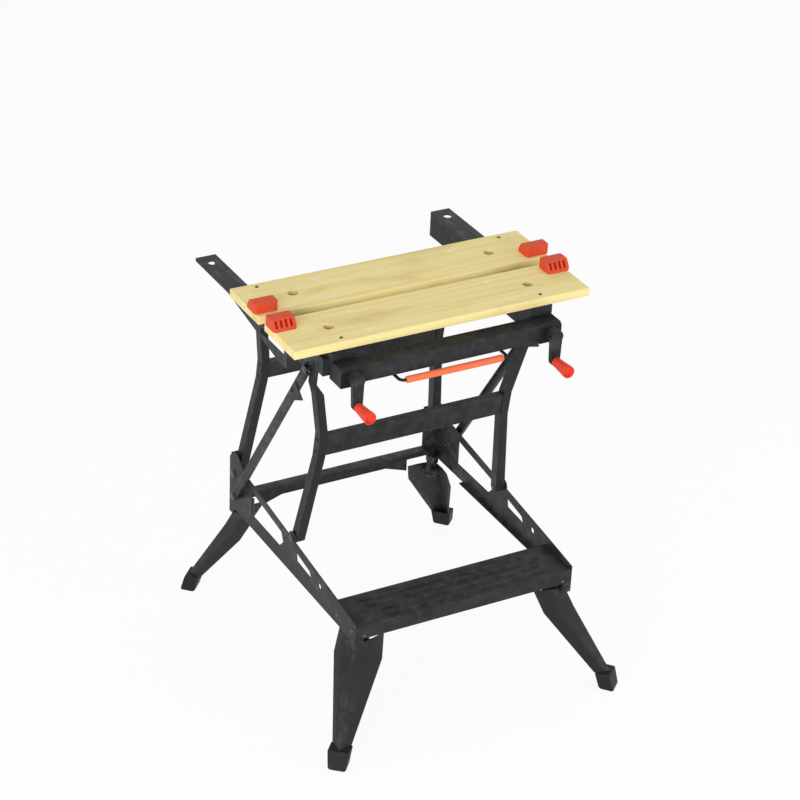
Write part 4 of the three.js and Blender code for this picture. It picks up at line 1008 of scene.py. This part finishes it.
class BENCH_OT_fasteners(bpy.types.Operator):
    """Set screws, rivets and timber plugs where the pieces are fixed together"""

    bl_idname = "bench.fasteners"
    bl_label = "Screws and rivets"

    def execute(self, context):
        heads = {
            "screw": self.head([
                (HEAD_SINK, 0), (HEAD_SINK, 1), (0.25, 1), (0.42, 0.8), (0.46, 0.5), (0.2, 0.36), (0.2, 0),
            ]),
            "rivet": self.head([
                (HEAD_SINK, 0), (HEAD_SINK, 1), (0.12, 0.98), (0.34, 0.8), (0.5, 0.5), (0.56, 0),
            ]),
            "plug": self.head([(HEAD_SINK, 0), (HEAD_SINK, 1), (0.015, 1), (0.03, 0.95), (0.03, 0)]),
        }
        tree = heads_tree()
        for label, body, kind, material, slot, spots in self.fastener_rows():
            points = bpy.data.meshes.new("points")
            points.from_pydata([spot[0] for spot in spots], [], [])
            facing = points.attributes.new("facing", "FLOAT_VECTOR", "POINT")
            facing.data.foreach_set("vector", [c for spot in spots for c in spot[1]])
            size = points.attributes.new("size", "FLOAT", "POINT")
            size.data.foreach_set("value", [spot[2] for spot in spots])
            mesh = run_tree(tree, points, {"Head": heads[kind], "Material": finishes()[material]})
            mesh.shade_smooth()
            mesh.set_sharp_from_angle(angle=CREASE)
            place_on_body(label, mesh, body, material)
        for head in heads.values():
            bpy.data.objects.remove(head)
        return {"FINISHED"}

    def head(self, profile):
        """One head of unit radius that faces up the z axis."""
        mesh = turned(profile, (0, 0, 0), (0, 0, 1), segments=20)
        holder = bpy.data.objects.new("head", mesh)
        bpy.context.scene.collection.objects.link(holder)
        return holder

    def fastener_rows(self):
        """Rows of fasteners as (name, body, kind, material, slot, [(place, facing, radius)])."""
        paint = ("bench_paint", "steel_paint")
        plated = ("bench_plating", "dark_plate")
        plugged = ("bench_plug", "jaw_timber")
        rows = [
            ("base_rivets", "base", "rivet", *plated, self.base_rivets()),
            ("beam_screws", "top_frame", "screw", "bench_moulding", "moulded_black", self.beam_screws()),
            ("front_jaw_screws", "top_frame", "screw", *plated, self.jaw_screws("front_jaw", 0.206)),
            ("rear_jaw_screws", "moving_jaw", "screw", *plated, self.jaw_screws("rear_jaw", 0.257)),
            ("front_jaw_plugs", "top_frame", "plug", *plugged, self.jaw_plugs("front_jaw")),
            ("rear_jaw_plugs", "moving_jaw", "plug", *plugged, self.jaw_plugs("rear_jaw")),
        ]
        for end in ("front", "rear"):
            label = f"{end}_crossbar_rivets"
            rows.append((label, f"{end}_frame", "rivet", *paint, self.crossbar_rivets(f"{end}_crossbar")))
        return rows

    def base_rivets(self):
        """Rivets that hold the step and the rear bar to the side plates."""
        step_low, step_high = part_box("step")
        bar_low, bar_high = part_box("rear_bar")
        plate = max(abs(c[0]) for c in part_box("base_side_left"))
        spots = []
        for _, s in SIDES:
            for setback in (0.012, 0.07):
                spots.append(((s * plate, step_low[1] + setback, step_high[2] - 0.016), (s, 0, 0), 0.0042))
            spots.append(((s * (step_high[0] - 0.017), step_low[1], step_high[2] - 0.025), (0, -1, 0), 0.004))
            for drop in (0.014, 0.105):
                spots.append(((s * (bar_high[0] - 0.014), bar_high[1], bar_high[2] - drop), (0, 1, 0), 0.004))
        return spots

    def beam_screws(self):
        """Screws in the top of the front beam and in the vise caps."""
        beam_low, beam_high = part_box("front_beam")
        spots = [((s * 0.079, beam_low[1] + 0.028, beam_high[2]), (0, 0, 1), 0.0036) for _, s in SIDES]
        spots.append(((0.123, beam_low[1] + 0.022, beam_high[2]), (0, 0, 1), 0.0028))
        for side, _ in SIDES:
            low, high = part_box(f"vise_cap_{side}")
            for x in (low[0] + 0.008, high[0] - 0.008):
                spots.append(((x, high[1] - 0.01, high[2]), (0, 0, 1), 0.003))
        return spots

    def jaw_row(self, jaw, half, inset, radius):
        """Two fixings on a jaw's top, at the same distance in from its outer edge."""
        low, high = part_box(jaw)
        y = low[1] + inset if jaw == "front_jaw" else high[1] - inset
        return [((s * half, y, high[2]), (0, 0, 1), radius) for _, s in SIDES]

    def jaw_screws(self, jaw, half):
        """Screws near a jaw's outer edge."""
        return self.jaw_row(jaw, half, 0.014, 0.0034)

    def jaw_plugs(self, jaw):
        """Timber plugs over the bolts that hold a jaw to its carriers."""
        spots = self.jaw_row(jaw, 0.144, 0.026, 0.0072)
        spots += self.jaw_row(jaw, 0.144, 0.101, 0.0072)
        return spots

    def crossbar_rivets(self, bar):
        """Two rivets in the outer face of each frame leg where its crossbar ends, along the frame's lean."""
        low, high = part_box(bar)
        outer = high[0] + WAIST_WIDTH
        y = (low[1] + high[1]) / 2
        z = (low[2] + high[2]) / 2
        return [
            ((s * outer, y - FRAME_LEAN * dz, z + dz), (s, 0, 0), 0.0036)
            for _, s in SIDES for dz in (-0.014, 0.014)
        ]


class BENCH_OT_studio(bpy.types.Operator):
    """Lay the floor and set the lights, the sky and the camera"""

    bl_idname = "bench.studio"
    bl_label = "Studio"

    def execute(self, context):
        view = context.scene.bench_view
        context.scene.view_settings.view_transform = "Standard"
        self.floor(view)
        self.sky(context.scene, view)
        self.lamp("key_light", (-3.1, -2.7, 1.7), 2.2, view.key)
        self.lamp("fill_light", (2.4, -2.3, 1.3), 2.4, view.fill)
        self.lamp("top_light", (0.2, 0.6, 3.6), 2.6, view.top)
        self.camera(context.scene, view)
        return {"FINISHED"}

    def seen_directly(self, tree):
        """1 for rays from the camera, mirrors and glass, 0 for rays that carry light."""
        path = tree.nodes.new("ShaderNodeLightPath")
        total = path.outputs["Is Camera Ray"]
        for label in ("Is Glossy Ray", "Is Transmission Ray"):
            more = tree.nodes.new("ShaderNodeMath")
            more.operation = "MAXIMUM"
            tree.links.new(total, more.inputs[0])
            tree.links.new(path.outputs[label], more.inputs[1])
            total = more.outputs[0]
        return total

    def floor(self, view):
        mesh = bpy.data.meshes.new("floor")
        reach = 9
        corners = [(-reach, -reach, 0), (reach, -reach, 0), (reach, reach, 0), (-reach, reach, 0)]
        mesh.from_pydata(corners, [], [(0, 1, 2, 3)])
        made, tree, shader = bare_material("studio_floor")
        shader.inputs["Base Color"].default_value = (*view.floor, 1)
        shader.inputs["Roughness"].default_value = 0.9
        glow = tree.nodes.new("ShaderNodeEmission")
        share = times(tree, self.seen_directly(tree), view.backdrop)
        blend = tree.nodes.new("ShaderNodeMixShader")
        tree.links.new(share, blend.inputs["Fac"])
        tree.links.new(shader.outputs["BSDF"], blend.inputs[1])
        tree.links.new(glow.outputs["Emission"], blend.inputs[2])
        tree.links.new(blend.outputs["Shader"], tree.nodes["Material Output"].inputs["Surface"])
        mesh.materials.append(made)
        piece = bpy.data.objects.new("floor", mesh)
        bpy.context.scene.collection.objects.link(piece)

    def sky(self, scene, view):
        world = bpy.data.worlds.new("studio")
        world.use_nodes = True
        tree = world.node_tree
        background = tree.nodes["Background"]
        background.inputs["Color"].default_value = (1, 1, 1, 1)
        strength = ramp(tree, self.seen_directly(tree), 0, 1, view.sky, 1.0)
        tree.links.new(strength, background.inputs["Strength"])
        scene.world = world

    def lamp(self, name, place, size, power):
        light = bpy.data.lights.new(name, "AREA")
        light.energy = power
        light.size = size
        lamp = bpy.data.objects.new(name, light)
        lamp.location = place
        lamp.rotation_euler = (Vector((0, 0, 0.45)) - Vector(place)).to_track_quat("-Z", "Y").to_euler()
        bpy.context.scene.collection.objects.link(lamp)

    def camera(self, scene, view):
        a, e, roll = view.azimuth, view.elevation, view.roll
        back = Vector((math.sin(a) * math.cos(e), -math.cos(a) * math.cos(e), math.sin(e)))
        level = Vector((0, 0, 1)).cross(back).normalized()
        upright = back.cross(level)
        right = math.cos(roll) * level + math.sin(roll) * upright
        up = math.cos(roll) * upright - math.sin(roll) * level
        turn = Matrix((right, up, back)).transposed()
        data = bpy.data.cameras.new("camera")
        data.sensor_width = 36
        data.lens = view.lens
        data.clip_end = 60
        camera = bpy.data.objects.new("camera", data)
        camera.matrix_world = Matrix.Translation(Vector(view.target) + back * view.distance) @ turn.to_4x4()
        scene.collection.objects.link(camera)
        scene.camera = camera


class BENCH_PT_panel(bpy.types.Panel):
    """Lists the bench's pieces"""

    bl_idname = "BENCH_PT_panel"
    bl_label = "Folding workbench"
    bl_space_type = "VIEW_3D"
    bl_region_type = "UI"
    bl_category = "Workbench"

    def draw(self, context):
        for operator in OPERATORS:
            self.layout.operator(operator.bl_idname)
        for group in (context.scene.bench_colours, context.scene.bench_sizes, context.scene.bench_view):
            box = self.layout.box()
            for name in group.bl_rna.properties.keys():
                if name not in ("name", "rna_type"):
                    box.prop(group, name)


GROUPS_OF_VALUES = {"bench_colours": BenchColours, "bench_sizes": BenchSizes, "bench_view": BenchView}
OPERATORS = (
    BENCH_OT_pressed_steel, BENCH_OT_fold_legs, BENCH_OT_jaws, BENCH_OT_cranks, BENCH_OT_pegs,
    BENCH_OT_release, BENCH_OT_pivot_pins, BENCH_OT_fasteners, BENCH_OT_studio,
)


def register():
    for name, group in GROUPS_OF_VALUES.items():
        bpy.utils.register_class(group)
        setattr(bpy.types.Scene, name, bpy.props.PointerProperty(type=group))
    for operator in OPERATORS:
        bpy.utils.register_class(operator)
    bpy.utils.register_class(BENCH_PT_panel)


def unregister():
    bpy.utils.unregister_class(BENCH_PT_panel)
    for operator in reversed(OPERATORS):
        bpy.utils.unregister_class(operator)
    for name, group in GROUPS_OF_VALUES.items():
        delattr(bpy.types.Scene, name)
        bpy.utils.unregister_class(group)


def main():
    """Builds every piece and the studio."""
    register()
    for operator in OPERATORS:
        area, name = operator.bl_idname.split(".")
        getattr(getattr(bpy.ops, area), name)()


if __name__ == "__main__":
    main()
